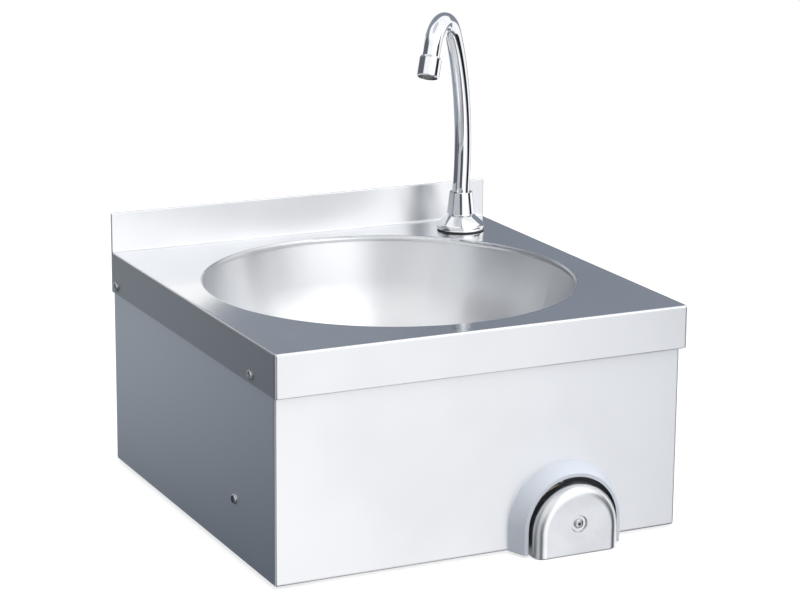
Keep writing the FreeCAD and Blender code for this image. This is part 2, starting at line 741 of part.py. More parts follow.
def return_spring():
    """Compression spring between the cap on the rod and the valve's bonnet."""
    start, end = cap_front + spring_cap, bonnet_front - bonnet_head
    length = end - start - 2 * spring_wire_r
    helix = Part.makeHelix(length / spring_turns, length, spring_mean_r)
    wire = Part.Wire(helix)
    profile = polygon_wire(spring_wire_sides, spring_wire_r, 0)
    profile.rotate(Vector(), X, 90)
    profile.translate(X * spring_mean_r)
    coil = wire.makePipeShell([profile], True, True)
    return aimed(coil, on_push(start + spring_wire_r), Y)


# --- valve -------------------------------------------------------------------------------
def valve_bracket():
    """Cross rail between the casing's sides, with a tab that carries the valve."""
    t = bracket_sheet
    half = casing_half - casing_sheet
    top, back = bracket_top, tab_front + bracket_width
    plate = block(-half, half, tab_front, back, top - t, top)
    web = block(-half, half, tab_front, tab_front + t, top - bracket_web, top)
    pieces = [web]
    for side in (-1, 1):
        x0, x1 = sorted((side * half, side * (half - t)))
        pieces.append(block(x0, x1, tab_front, back, top - bracket_end, top))
    tab = block(push_x - tab_half, push_x + tab_half, tab_front, tab_front + t, push_z - tab_foot, top)
    feet = edges_where(tab, lambda e: along(e, Y) and e.CenterOfMass.z < push_z)
    pieces.append(tab.makeFillet(tab_corner, feet))
    bracket = plate.fuse(pieces).removeSplitter()
    bends = edges_where(bracket, lambda e: along(e, X) and abs(e.CenterOfMass.z - top) < 1e-6
                        and abs(e.CenterOfMass.y - tab_front) < 1e-6)
    bracket = bracket.makeFillet(0.9 * t, bends)
    bracket = bracket.cut(rod_between(valve_neck_r + 2 * running_gap, on_push(tab_front - 1), Y, t + 2))
    for side, place in bracket_screw_places():
        bracket = bracket.cut(rod_between(screw_r + screw_fit, place, X * -side, 3 * t))
    return bracket


def valve_body():
    neck = rod_between(valve_neck_r, on_push(bonnet_front), Y, valve_neck_length)
    shoulder = rod_between(valve_shoulder_r, on_push(tab_y), Y, valve_shoulder)
    barrel = rod_between(valve_r, on_push(tab_y), Y, valve_rear - tab_y)
    barrel = barrel.makeChamfer(1.0, edges_where(barrel, lambda e: e.CenterOfMass.y > valve_rear - 1e-6))
    outlet = rod_between(pipe_thread_r, Vector(push_x, outlet_y, push_z), X, outlet_reach)
    body = neck.fuse([shoulder, barrel, outlet]).removeSplitter()
    body = body.cut(rod_between(front_chamber_r, on_push(bonnet_front - 1), Y, seat_y - bonnet_front + 1))
    body = body.cut(rod_between(seat_r, on_push(seat_y - 1), Y, seat_wall + 2))
    body = body.cut(rod_between(chamber_r, on_push(seat_face), Y, chamber_length))
    body = body.cut(rod_between(union_spigot_r, on_push(union_front), Y, union_spigot + 1))
    return body.cut(rod_between(pipe_bore_r, Vector(push_x, outlet_y, push_z), X, outlet_reach + 1))


def valve_bonnet():
    """Front guide of the push rod, with a keyed hole and a groove for the seal ring."""
    r_out = front_chamber_r - thread_gap
    head = rounded_nut(bonnet_flats, bonnet_head, 1.0, on_push(bonnet_front - bonnet_head), Y)
    head = head.fuse(rod_between(1.0, on_push(bonnet_front - bonnet_head), Y, bonnet_head))
    barrel = rod_between(r_out, on_push(bonnet_front), Y, bonnet_rear - bonnet_front)
    bonnet = head.fuse(barrel).removeSplitter()
    keyed = bonnet_front - bonnet_head
    hole = rod_between(rod_r + running_gap, on_push(keyed - 1), Y, bonnet_rear - keyed + 2)
    hole = hole.cut(rod_flat_cut(keyed - 1, keyed + bonnet_key, rod_flat + running_gap))
    groove_r = rod_r + running_gap + 2 * seal_ring_r + running_gap
    groove = rod_between(groove_r, on_push(seal_ring_y() - seal_ring_r - running_gap), Y,
                         2 * (seal_ring_r + running_gap))
    return bonnet.cut(hole).cut(groove)


def seal_ring_y():
    return tab_y + seal_back


def rod_seal():
    mean = rod_r + running_gap + seal_ring_r
    return Part.makeTorus(mean, seal_ring_r, on_push(seal_ring_y()), Y)


def valve_washer():
    return ring(valve_neck_r + 2 * running_gap, washer_r, on_push(tab_front - washer_thick), Y, washer_thick)


def valve_lock_nut():
    return rounded_nut(nut_flats, nut_thick, valve_neck_r + thread_gap,
                       on_push(tab_front - washer_thick - nut_thick), Y)


def poppet_washer_ring():
    return ring(rod_tip_r, poppet_washer_r, on_push(seat_face + running_gap), Y, poppet_washer - running_gap)


def valve_poppet():
    return ring(rod_tip_r, poppet_r, on_push(seat_face + poppet_washer), Y, poppet_thick)


def poppet_nut():
    start = seat_face + poppet_washer + poppet_thick
    return ring(rod_tip_r, tip_nut_r, on_push(start), Y, tip_nut)


def inlet_union():
    """Screwed into the valve's rear end. Its tail is the water inlet."""
    spigot = rod_between(union_spigot_r - thread_gap, on_push(union_front), Y, union_spigot)
    flats = rounded_nut(union_flats, union_hex, 1.0, on_push(valve_rear), Y)
    flats = flats.fuse(rod_between(1.0, on_push(valve_rear), Y, union_hex))
    tail = rod_between(pipe_thread_r, on_push(valve_rear + union_hex), Y, inlet_length)
    tail = tail.makeChamfer(0.8, edges_where(tail, lambda e: e.CenterOfMass.y > inlet_face - 1e-6))
    union = spigot.fuse([flats, tail]).removeSplitter()
    return union.cut(rod_between(pipe_bore_r, on_push(union_front - 1), Y, inlet_face - union_front + 2))


# --- elbow and hose ----------------------------------------------------------------------
def outlet_elbow():
    corner = Vector(elbow_x, outlet_y, push_z)
    face_x = push_x + outlet_reach
    socket_start = Vector(face_x - elbow_socket, outlet_y, push_z)
    arm = rod_between(elbow_r, socket_start, X, elbow_x - socket_start.x)
    knee = Part.makeSphere(elbow_r, corner)
    shoulder = rod_between(elbow_r, corner, Y, elbow_shoulder)
    tail = rod_between(pipe_thread_r, corner, Y, elbow_length)
    elbow = arm.fuse([knee, shoulder, tail]).removeSplitter()
    socket = rod_between(pipe_thread_r + thread_gap, socket_start - X, X, elbow_socket + 1)
    bore_in = rod_between(pipe_bore_r, corner, X * -1, elbow_x - face_x + 1)
    bore_out = rod_between(pipe_bore_r, corner, Y, elbow_length + 1)
    ball = Part.makeSphere(pipe_bore_r, corner)
    return elbow.cut(socket).cut(bore_in.fuse([bore_out, ball]))


def hose_ends():
    """Where the hose's two fittings meet the elbow and the tap: each face and the way the hose leaves."""
    return [(Vector(elbow_x, elbow_face, push_z), Y),
            (Vector(tap_x, -tap_back, shank_low), Z * -1)]


def hose_path():
    (start, _), (end, _) = hose_ends()
    begin = start + Y * hose_washer
    first = begin + Y * hose_straight
    second = Vector(tap_x, -tap_back, push_z)
    return tangent_path([begin, first, second, end - Z * hose_washer], [hose_first_bend, hose_bend])


def supply_hose():
    return tube_along(hose_path(), hose_r, hose_bore_r)


def hose_washers():
    return one_group([ring(hose_bore_r, pipe_thread_r - 0.3, face, way, hose_washer)
                      for face, way in hose_ends()])


def hose_ferrules():
    outline = [(hose_r + running_gap, 0), (ferrule_collar_r, 0), (ferrule_collar_r, ferrule_collar),
               (ferrule_r, ferrule_collar), (ferrule_r, ferrule_length - 1), (ferrule_r - 0.8, ferrule_length),
               (hose_r + running_gap, ferrule_length)]
    return one_group([turned(outline, face + way * hose_washer, way) for face, way in hose_ends()])


def hose_nuts():
    """Union nuts that hold the hose's collars against the elbow and the tap's shank."""
    nuts = []
    for face, way in hose_ends():
        rear = hose_washer + ferrule_collar + hose_nut_end
        front = rear - hose_nut_length
        nut = rounded_nut(hose_nut_flats, hose_nut_length, ferrule_r + 0.2, face + way * front, way)
        thread = rod_between(pipe_thread_r + thread_gap, face + way * (front - 1), way,
                             hose_nut_length - hose_nut_end + 1)
        nuts.append(nut.cut(thread))
    return one_group(nuts)


# --- tap ---------------------------------------------------------------------------------
def at_tap(height):
    """Point on the tap's axis, the given height above the deck's surface."""
    return tap_centre + Z * height


def tap_base_seal():
    return ring(tap_hole_r, base_seal_r, at_tap(0), Z, base_seal)


def tap_flange():
    """Round rim with an eight-sided cone on it."""
    rim = turned([(0, 0), (flange_r, 0), (flange_r, flange_rim - 0.8), (flange_r - 0.8, flange_rim), (0, flange_rim)],
                 Vector(), Z)
    low = (flange_r - 0.8) / math.cos(math.pi / facets)
    cone = Part.makeLoft([polygon_wire(facets, low, flange_rim - 0.5),
                          polygon_wire(facets, flange_top_r / math.cos(math.pi / facets),
                                       flange_rim + flange_cone)], True, True)
    cone = cone.common(Part.makeCylinder(flange_r - 0.8, 2 * flange_cone))
    flange = rim.fuse(cone).removeSplitter()
    flange = flange.cut(Part.makeCylinder(pipe_thread_r + thread_gap, 2 * flange_cone))
    return aimed(flange, at_tap(base_seal), Z)


def tap_shank():
    """Threaded tail through the deck, and the neck in which the spout turns."""
    bore = spout_r + running_gap
    outline = [(pipe_bore_r, -shank_drop), (pipe_thread_r - 0.8, -shank_drop), (pipe_thread_r, -shank_drop + 0.8),
               (pipe_thread_r, neck_height), (bore, neck_height), (bore, spigot_low - 1), (pipe_bore_r, spigot_low - 1)]
    return turned(outline, at_tap(0), Z)


def collar_nut():
    """Eight-sided gland nut that holds the spout down in the neck."""
    low_r, top_r = (r / math.cos(math.pi / facets) for r in (collar_low_r, collar_top_r))
    form = Part.makeLoft([polygon_wire(facets, low_r, 0), polygon_wire(facets, top_r, collar_height)], True, True)
    trim = turned([(0, 0), (collar_low_r - collar_chamfer + 1.2, 0), (low_r + 0.4, collar_chamfer),
                   (low_r + 0.4, collar_height - 1.5), (top_r - 0.9, collar_height), (0, collar_height)],
                  Vector(), Z)
    nut = form.common(trim)
    nut = nut.cut(Part.makeCylinder(spout_r + running_gap, collar_height))
    thread = Part.makeCylinder(pipe_thread_r + thread_gap, collar_height - collar_top_wall)
    return aimed(nut.cut(thread), at_tap(collar_low), Z)


def tap_seal():
    """Rubber ring under the deck."""
    return ring(pipe_thread_r + thread_gap, tap_washer_r, at_tap(-deck_sheet - tap_seal_thick), Z, tap_seal_thick)


def tap_washer():
    low = deck_sheet + tap_seal_thick + washer_thick
    return ring(pipe_thread_r + thread_gap, tap_washer_r, at_tap(-low), Z, washer_thick)


def tap_lock_nut():
    low = deck_sheet + tap_seal_thick + washer_thick + tap_nut_thick
    return rounded_nut(tap_nut_flats, tap_nut_thick, pipe_thread_r + thread_gap, at_tap(-low), Z)


def spout_arc(start, heading, radius, end_heading):
    """Arc in the XZ plane from start. Headings are degrees from upright, towards +X; returns edge and end."""
    turn = 1 if end_heading > heading else -1

    def point(angle):
        a, b = math.radians(heading), math.radians(angle)
        across = turn * radius * (math.cos(a) - math.cos(b))
        rise = turn * radius * (math.sin(b) - math.sin(a))
        return start + Vector(across, 0, rise)

    end = point(end_heading)
    return Part.Arc(start, point((heading + end_heading) / 2), end).toShape(), end


def spout_place():
    return Placement(tap_centre, Rotation(Z, spout_turn))


def spout_path():
    """Centre line of the swan neck, its outlet's end and the outlet's direction, before it is turned."""
    foot, straight = Vector(0, 0, spout_foot), Vector(0, 0, collar_low + collar_height)
    lean, lean_end = spout_arc(straight, 0, spout_lean_r, -spout_lean)
    long_bow, bow_end = spout_arc(lean_end, -spout_lean, spout_long_r, spout_over)
    tight, tight_end = spout_arc(bow_end, spout_over, spout_tight_r, spout_outlet)
    a = math.radians(spout_outlet)
    way = Vector(math.sin(a), 0, math.cos(a))
    tube_end = tight_end + way * (spout_end - aerator_length + aerator_grip)
    edges = [Part.makeLine(foot, straight), lean, long_bow, tight, Part.makeLine(tight_end, tube_end)]
    return Part.Wire(edges), tight_end + way * spout_end, way


def spout_tube():
    path, _, _ = spout_path()
    tube = tube_along(path, spout_r, spout_r - spout_wall)
    tube.Placement = spout_place()
    return tube


def spout_spigot():
    """Turned foot of the spout, with two ring grooves. The tube is brazed on its upper end."""
    step = spout_r - spout_wall - running_gap
    groove = spout_r - 2 * spigot_ring_r - running_gap
    outline = [(spigot_bore_r, spigot_low), (spout_r - 0.5, spigot_low), (spout_r, spigot_low + 0.5)]
    for height in spigot_ring_places:
        low, high = height - spigot_ring_r - running_gap, height + spigot_ring_r + running_gap
        outline += [(spout_r, low), (groove, low), (groove, high), (spout_r, high)]
    outline += [(spout_r, spout_foot), (step, spout_foot), (step, spout_foot + 6), (spigot_bore_r, spout_foot + 6)]
    return turned(outline, at_tap(0), Z)


def spout_rings():
    mean = spout_r + running_gap - spigot_ring_r - 0.02
    return one_group([Part.makeTorus(mean, spigot_ring_r, at_tap(height), Z) for height in spigot_ring_places])


def spout_bush():
    """Plain bush round the tube, held between the neck and the collar nut."""
    shoulder = collar_low + collar_height - collar_top_wall
    start = shoulder - bush_thick - running_gap
    return ring(spout_r, pipe_thread_r - 0.2, at_tap(start), Z, bush_thick)


def on_outlet(back):
    """Point on the outlet's axis, back from its face, and the axis' direction out of the tap."""
    _, end, way = spout_path()
    place = spout_place()
    return place.multVec(end - way * back), place.Rotation.multVec(way)


def aerator_shell():
    start, way = on_outlet(aerator_length)
    edge = aerator_edge
    outline = [(spout_r, 0), (aerator_r - 1.6, 0), (aerator_r - edge, 1.6), (aerator_r, 1.6 + edge),
               (aerator_r, aerator_length - edge), (aerator_r - edge, aerator_length),
               (aerator_bore_r, aerator_length), (aerator_bore_r, aerator_grip), (spout_r, aerator_grip)]
    return turned(outline, start, way)


def aerator_insert():
    start, way = on_outlet(insert_thick + insert_recess)
    plug = Part.makeCylinder(aerator_bore_r - 0.1, insert_thick)
    for i in range(insert_holes):
        angle = 2 * math.pi * i / insert_holes
        spot = Vector(insert_hole_circle * math.cos(angle), insert_hole_circle * math.sin(angle), -1)
        plug = plug.cut(Part.makeCylinder(insert_hole_r, insert_thick + 2, spot))
    plug = plug.cut(Part.makeCylinder(insert_hole_r, insert_thick + 2, Vector(0, 0, -1)))
    return aimed(plug, start, way)


# --- all pieces, by node name ------------------------------------------------------------
PIECES = {
    "top_deck": top_deck,
    "bowl": bowl,
    "casing": casing,
    "apron_screws": apron_screws,
    "bracket_screws": bracket_screws,
    "waste_strainer": waste_strainer,
    "waste_top_seal": waste_top_seal,
    "waste_low_seal": waste_low_seal,
    "waste_body": waste_body,
    "waste_screw": waste_screw,
    "push_hood": push_hood,
    "hood_screws": hood_screws,
    "push_cover": push_cover,
    "cover_screw": cover_screw,
    "push_rod": push_rod,
    "spring_cap": spring_cap_ring,
    "return_spring": return_spring,
    "valve_bracket": valve_bracket,
    "valve_body": valve_body,
    "valve_bonnet": valve_bonnet,
    "rod_seal": rod_seal,
    "valve_washer": valve_washer,
    "valve_lock_nut": valve_lock_nut,
    "poppet_washer": poppet_washer_ring,
    "valve_poppet": valve_poppet,
    "poppet_nut": poppet_nut,
    "inlet_union": inlet_union,
    "outlet_elbow": outlet_elbow,
    "supply_hose": supply_hose,
    "hose_washers": hose_washers,
    "hose_ferrules": hose_ferrules,
    "hose_nuts": hose_nuts,
    "tap_base_seal": tap_base_seal,
    "tap_flange": tap_flange,
    "tap_shank": tap_shank,
    "collar_nut": collar_nut,
    "tap_seal": tap_seal,
    "tap_washer": tap_washer,
    "tap_lock_nut": tap_lock_nut,
    "spout_tube": spout_tube,
    "spout_spigot": spout_spigot,
    "spout_rings": spout_rings,
    "spout_bush": spout_bush,
    "aerator_shell": aerator_shell,
    "aerator_insert": aerator_insert,
}

os.makedirs("parts", exist_ok=True)
for name, make in PIECES.items():
    shape = make()
    shape.exportStep(os.path.join("parts", name + ".step"))
    print(name, "valid" if shape.isValid() else "NOT VALID", len(shape.Solids), round(shape.Volume, 1))
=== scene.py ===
import json
import math
from contextlib import contextmanager
from math import radians

import bpy
from mathutils import Matrix, Vector


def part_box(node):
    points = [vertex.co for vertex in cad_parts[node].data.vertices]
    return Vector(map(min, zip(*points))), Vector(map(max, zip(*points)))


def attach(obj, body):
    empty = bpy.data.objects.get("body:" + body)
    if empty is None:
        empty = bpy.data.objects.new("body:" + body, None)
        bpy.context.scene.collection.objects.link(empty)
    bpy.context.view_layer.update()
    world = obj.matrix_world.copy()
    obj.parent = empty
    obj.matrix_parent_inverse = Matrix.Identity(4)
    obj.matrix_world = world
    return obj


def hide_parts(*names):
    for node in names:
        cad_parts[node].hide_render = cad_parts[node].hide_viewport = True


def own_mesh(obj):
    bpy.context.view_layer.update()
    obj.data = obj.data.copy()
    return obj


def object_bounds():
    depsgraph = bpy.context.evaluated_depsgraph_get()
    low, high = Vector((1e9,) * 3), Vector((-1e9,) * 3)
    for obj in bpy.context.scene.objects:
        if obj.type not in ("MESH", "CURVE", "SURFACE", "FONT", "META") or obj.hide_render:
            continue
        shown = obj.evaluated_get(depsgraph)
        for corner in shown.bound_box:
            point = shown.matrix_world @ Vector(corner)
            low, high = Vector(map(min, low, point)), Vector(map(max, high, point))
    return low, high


bl_info = {
    "name": "Hand wash sink",
    "version": (1, 0, 0),
    "blender": (4, 5, 0),
    "location": "3D View > Sidebar > Sink",
    "description": "Dresses a wall-hung steel hand wash sink with a swan-neck spout and a knee push",
    "category": "Object",
}

# The frame is metres, +Z up, +Y into the wall, with its origin between the wall fixings.
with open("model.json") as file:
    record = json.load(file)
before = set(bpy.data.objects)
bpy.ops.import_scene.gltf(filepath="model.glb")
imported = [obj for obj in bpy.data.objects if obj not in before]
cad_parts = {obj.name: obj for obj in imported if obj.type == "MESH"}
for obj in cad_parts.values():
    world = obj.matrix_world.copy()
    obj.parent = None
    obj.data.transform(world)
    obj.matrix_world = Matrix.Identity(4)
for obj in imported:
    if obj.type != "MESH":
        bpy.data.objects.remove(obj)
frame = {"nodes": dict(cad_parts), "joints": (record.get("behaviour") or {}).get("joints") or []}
cad_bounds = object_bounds()

SINK, PUSH, SPOUT = "sink", "knee_push_parts", "swan_neck"
TURN = 2 * math.pi
MM = 0.001
HAIR = 1e-6  # distance at which vertices merge, and radius of an outline's end on its axis
THROUGH = 0.1  # depth of a cutter that goes right through a small piece
UP, AHEAD, BACK = Vector((0, 0, 1)), Vector((0, -1, 0)), Vector((0, 1, 0))


def centre(node):
    low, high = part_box(node)
    return (low + high) / 2


def joint(name):
    return next(entry for entry in frame["joints"] if entry["name"] == name)


# --- what a user would change ------------------------------------------------------------
class StageSettings(bpy.types.PropertyGroup):
    """Camera, floor and light."""

    camera_place: bpy.props.FloatVectorProperty(
        name="Camera", description="Place of the camera", subtype="TRANSLATION", unit="LENGTH",
        default=(-1.0333, -2.3627, 0.7084))
    camera_azimuth: bpy.props.FloatProperty(
        name="Azimuth", description="Turn of the view from straight ahead", subtype="ANGLE",
        default=radians(25.775))
    camera_drop: bpy.props.FloatProperty(
        name="Look down", description="Tilt of the view below level", subtype="ANGLE",
        default=radians(14.495))
    camera_roll: bpy.props.FloatProperty(
        name="Roll", description="Turn of the picture about the view", subtype="ANGLE",
        default=radians(0.453))
    lens: bpy.props.FloatProperty(
        name="Lens", description="Focal length on a 36 mm sensor, in millimetres", default=120.36)
    floor_size: bpy.props.FloatProperty(
        name="Floor", description="Length of the floor's side", unit="LENGTH", default=24.0)
    floor_colour: bpy.props.FloatVectorProperty(
        name="Floor colour", description="Colour of the pale floor", subtype="COLOR",
        default=(0.50, 0.50, 0.50))
    floor_glow: bpy.props.FloatProperty(
        name="Floor glow", default=0.70,
        description="Brightness that the camera sees on top of the light on the floor")
    fill: bpy.props.FloatProperty(
        name="Fill", description="Brightness of the surroundings on matt surfaces", default=0.5)
    key_power: bpy.props.FloatProperty(
        name="Key light", description="Power of the large lamp above", unit="POWER", default=50.0)
    side_power: bpy.props.FloatProperty(
        name="Side light", description="Power of the large lamp on the right", unit="POWER", default=14.0)


class TapSettings(bpy.types.PropertyGroup):
    """Sizes of the swan neck and the two fluted pieces at its foot."""

    tube: bpy.props.FloatProperty(
        name="Tube", description="Radius of the spout's tube", unit="LENGTH", default=8.5 * MM)
    wall: bpy.props.FloatProperty(
        name="Wall", description="Wall of the spout's tube", unit="LENGTH", default=1.0 * MM)
    straight: bpy.props.FloatProperty(
        name="Straight foot", description="Height above the deck at which the tube starts to bend",
        unit="LENGTH", default=38.0 * MM)
    lean: bpy.props.FloatProperty(
        name="Lean", description="Angle by which the leg leans back", subtype="ANGLE",
        default=radians(8.3))
    lean_radius: bpy.props.FloatProperty(
        name="Lean radius", description="Radius of the bend at the foot", unit="LENGTH", default=90 * MM)
    bow: bpy.props.FloatProperty(
        name="Bow", description="Heading at which the long bow ends", subtype="ANGLE",
        default=radians(34))
    bow_radius: bpy.props.FloatProperty(
        name="Bow radius", description="Radius of the long bow", unit="LENGTH", default=213 * MM)
    bend: bpy.props.FloatProperty(
        name="Bend", description="Heading of the outlet", subtype="ANGLE", default=radians(154.5))
    bend_radius: bpy.props.FloatProperty(
        name="Bend radius", description="Radius of the tight bend", unit="LENGTH", default=35.6 * MM)
    outlet: bpy.props.FloatProperty(
        name="Outlet", description="From the tight bend to the outlet's face", unit="LENGTH",
        default=29.5 * MM)
    aerator: bpy.props.FloatProperty(
        name="Aerator", description="End of the outlet that the aerator fills", unit="LENGTH",
        default=13.0 * MM)
    turn: bpy.props.FloatProperty(
        name="Turn", description="The way the spout points, from +X", subtype="ANGLE",
        default=radians(225))
    facets: bpy.props.IntProperty(name="Facets", description="Flats round the tap's foot", default=8)


class DetailSettings(bpy.types.PropertyGroup):
    """Sizes of small parts."""

    screw_head: bpy.props.FloatProperty(
        name="Screw head", description="Radius of the casing's screw heads", unit="LENGTH",
        default=4.6 * MM)
    screw_rise: bpy.props.FloatProperty(
        name="Head height", description="Height of the casing's screw heads", unit="LENGTH",
        default=2.2 * MM)
    pitch: bpy.props.FloatProperty(
        name="Pipe thread", description="Pitch of the pipe threads", unit="LENGTH", default=1.814 * MM)
    wire: bpy.props.FloatProperty(
        name="Spring wire", description="Radius of the spring's wire", unit="LENGTH", default=0.8 * MM)
    coils: bpy.props.FloatProperty(
        name="Coils", description="Turns of the return spring", default=5.5)
    strands: bpy.props.IntProperty(
        name="Strands", description="Strands of the hose's braid in each direction", default=14)
    lay: bpy.props.FloatProperty(
        name="Lay", description="Length in which a strand goes once round the hose", unit="LENGTH",
        default=38 * MM)


class FinishSettings(bpy.types.PropertyGroup):
    """Colours of the finishes."""

    steel: bpy.props.FloatVectorProperty(
        name="Steel", description="Satin stainless steel", subtype="COLOR", default=(0.79, 0.80, 0.815))
    chrome: bpy.props.FloatVectorProperty(
        name="Chrome", description="Polished chrome plate", subtype="COLOR", default=(0.84, 0.85, 0.87))
    hood: bpy.props.FloatVectorProperty(
        name="Hood", description="Light moulding round the push cover", subtype="COLOR",
        default=(0.64, 0.68, 0.75))
    brass: bpy.props.FloatVectorProperty(
        name="Brass", description="Turned brass of the valve", subtype="COLOR",
        default=(0.63, 0.52, 0.35))
    rubber: bpy.props.FloatVectorProperty(
        name="Rubber", description="Seals", subtype="COLOR", default=(0.03, 0.03, 0.032))


# --- shader maths ------------------------------------------------------------------------
class Link:
    """One output of a shader node. Arithmetic on it adds Math nodes beside it."""

    def __init__(self, net, socket):
        self.net = net
        self.socket = socket

    def __add__(self, other):
        return self.net.maths("ADD", self, other)

    __radd__ = __add__

    def __sub__(self, other):
        return self.net.maths("SUBTRACT", self, other)

    def __rsub__(self, other):
        return self.net.maths("SUBTRACT", other, self)

    def __mul__(self, other):
        return self.net.maths("MULTIPLY", self, other)

    __rmul__ = __mul__

    def __truediv__(self, other):
        return self.net.maths("DIVIDE", self, other)

    def __pow__(self, other):
        return self.net.maths("POWER", self, other)

    def __abs__(self):
        return self.net.maths("ABSOLUTE", self)

    def ramp(self, low, high, start=0.0, end=1.0):
        """From start to end with soft ends, as this value goes from low to high."""
        return self.net.node("ShaderNodeMapRange", {"interpolation_type": "SMOOTHSTEP"},
                             self, low, high, start, end)["Result"]


class Made:
    """A node that was added. Its outputs are read by name."""

    def __init__(self, net, node):
        self.net = net
        self.node = node

    def __getitem__(self, name):
        return Link(self.net, self.node.outputs[name])


class Net:
    """The node tree of a material or of the world."""

    def __init__(self, tree):
        self.tree = tree
        tree.nodes.clear()

    def node(self, kind, settings=None, *values, **named):
        """Adds a node: its settings first, then values or links of its sockets, by order or by name."""
        node = self.tree.nodes.new(kind)
        for name, value in (settings or {}).items():
            setattr(node, name, value)
        by_name = [(name.replace("_", " "), value) for name, value in named.items()]
        for key, value in [*enumerate(values), *by_name]:
            socket = node.inputs[key]
            if isinstance(value, Link):
                self.tree.links.new(value.socket, socket)
            elif value is not None:
                socket.default_value = value
        return Made(self, node)

    def maths(self, operation, *values):
        return self.node("ShaderNodeMath", {"operation": operation}, *values)["Value"]

    def spot(self):
        """Place on the piece, in metres of the frame."""
        return self.node("ShaderNodeTexCoord")["Object"]

    def facing(self):
        """The way that the surface faces, as X, Y and Z."""
        return self.split(self.node("ShaderNodeNewGeometry")["Normal"])

    def split(self, vector):
        parts = self.node("ShaderNodeSeparateXYZ", None, vector)
        return parts["X"], parts["Y"], parts["Z"]

    def join(self, x, y, z):
        return self.node("ShaderNodeCombineXYZ", None, x, y, z)["Vector"]

    def noise(self, place, scale, detail=2.0, roughness=0.5):
        return self.node("ShaderNodeTexNoise", None, Vector=place, Scale=scale, Detail=detail,
                         Roughness=roughness)["Fac"]

    def stretched(self, place, scales):
        """Noise on a place that is stretched along the axis of the smallest scale."""
        mapped = self.node("ShaderNodeMapping", None, Vector=place, Scale=scales)["Vector"]
        return self.noise(mapped, 1.0, 3.0, 0.6)

    def blend(self, factor, one, other):
        """Colour from one to other."""
        mix = self.node("ShaderNodeMix", {"data_type": "RGBA"})
        for index, value in ((0, factor), (6, one), (7, other)):
            if isinstance(value, Link):
                self.tree.links.new(value.socket, mix.node.inputs[index])
            elif index == 0:
                mix.node.inputs[index].default_value = value
            else:
                mix.node.inputs[index].default_value = list(value)[:3] + [1.0]
        return Link(self, mix.node.outputs[2])

    def bump(self, height, distance, strength=1.0):
        return self.node("ShaderNodeBump", None, Strength=strength, Distance=distance,
                         Height=height)["Normal"]

    def output(self, shader):
        self.node("ShaderNodeOutputMaterial", None, shader)


def shade(colour, factor=1.0):
    """Colour as four numbers, made darker or lighter by a factor."""
    return [min(1.0, c * factor) for c in list(colour)[:3]] + [1.0]


def empty_material(name):
    """A new material and its emptied node tree."""
    material = bpy.data.materials.new(name)
    material.use_nodes = True
    return material, Net(material.node_tree)


def finish(name, build, **constants):
    """Material whose build function returns what feeds its shader. Constants go onto its sockets."""
    material, net = empty_material(name)
    net.output(net.node("ShaderNodeBsdfPrincipled", None, **constants, **build(net))["BSDF"])
    return material


# --- finishes ----------------------------------------------------------------------------
# How finely the noise of a ground line runs along it and across it.
ALONG, ACROSS = 5, 1400


def sheet_grain(net, place):
    """Fine ground lines: along X on the front and the top, along Y on the sides."""
    across, _, _ = net.facing()
    side = abs(across).ramp(0.6, 0.8)
    along_x = net.stretched(place, (ALONG, ACROSS, ACROSS))
    along_y = net.stretched(place, (ACROSS, ALONG, ACROSS))
    return along_x * (1 - side) + along_y * side


def steel_sheet(net, colour, rough, grain):
    """What feeds a ground steel surface: soft clouds of tone, grain in its gloss and a slight wave."""
    scratch, swell = 0.02, 2.2  # heights of the grain and of the wave, in millimetres
    place = net.spot()
    cloud = net.noise(place, 7.0, 3.0)
    wave = net.noise(place, 3.2, 1.0)
    return {"Base_Color": net.blend(cloud.ramp(0.3, 0.7), shade(colour, 0.96), shade(colour, 1.03)),
            "Roughness": rough + 0.06 * (grain - 0.5) + 0.05 * (cloud - 0.5),
            "Normal": net.bump(grain * scratch * MM + wave * swell * MM, 1.0)}


def satin_sheet(name, colours, rough, top_rough, side_tone):
    """Ground sheet, finer on top. Its sides are ground the other way, and their colour is darkened by
    side_tone as painted shade.
    """
    def build(net):
        across, _, up = net.facing()
        ground = up.ramp(0.9, 0.98, rough, top_rough)
        feeds = steel_sheet(net, colours.steel, ground, sheet_grain(net, net.spot()))
        # Painted shade: the faces that look along X get a darker colour, side_tone of the steel's.
        side = abs(across).ramp(0.9, 0.97)
        feeds["Base_Color"] = net.blend(side, feeds["Base_Color"], shade(colours.steel, side_tone))
        return feeds
    return finish(name, build, Metallic=1.0, Anisotropic=0.85, Anisotropic_Rotation=0.25)


def spun_steel(colours, hub, rough=0.36):
    """Bowl finish: fine rings round the axis through hub."""
    def build(net):
        x, y, z = net.split(net.spot())
        dx, dy = x - hub.x, y - hub.y
        radius = (dx * dx + dy * dy) ** 0.5
        round_axis = net.join(radius, z, net.maths("ARCTAN2", dy, dx))
        return steel_sheet(net, colours.steel, rough, net.stretched(round_axis, (900, 900, 3)))
    return finish("spun_steel", build, Metallic=1.0, Anisotropic=0.8, Anisotropic_Rotation=0.25)


def plain_metal(name, colour, rough, spread=0.05, scale=60.0, bump=0.01, **constants):
    """Turned, drawn or plated metal with a fine mottle."""
    def build(net):
        place = net.spot()
        mottle = net.noise(place, scale, 4.0, 0.6)
        fine = net.noise(place, 2500.0, 2.0)
        return {"Base_Color": net.blend(mottle.ramp(0.3, 0.7), shade(colour, 0.93), shade(colour, 1.04)),
                "Roughness": rough + spread * (mottle - 0.5) + 0.4 * spread * (fine - 0.5),
                "Normal": net.bump(fine, bump * MM)}
    return finish(name, build, Metallic=1.0, **constants)


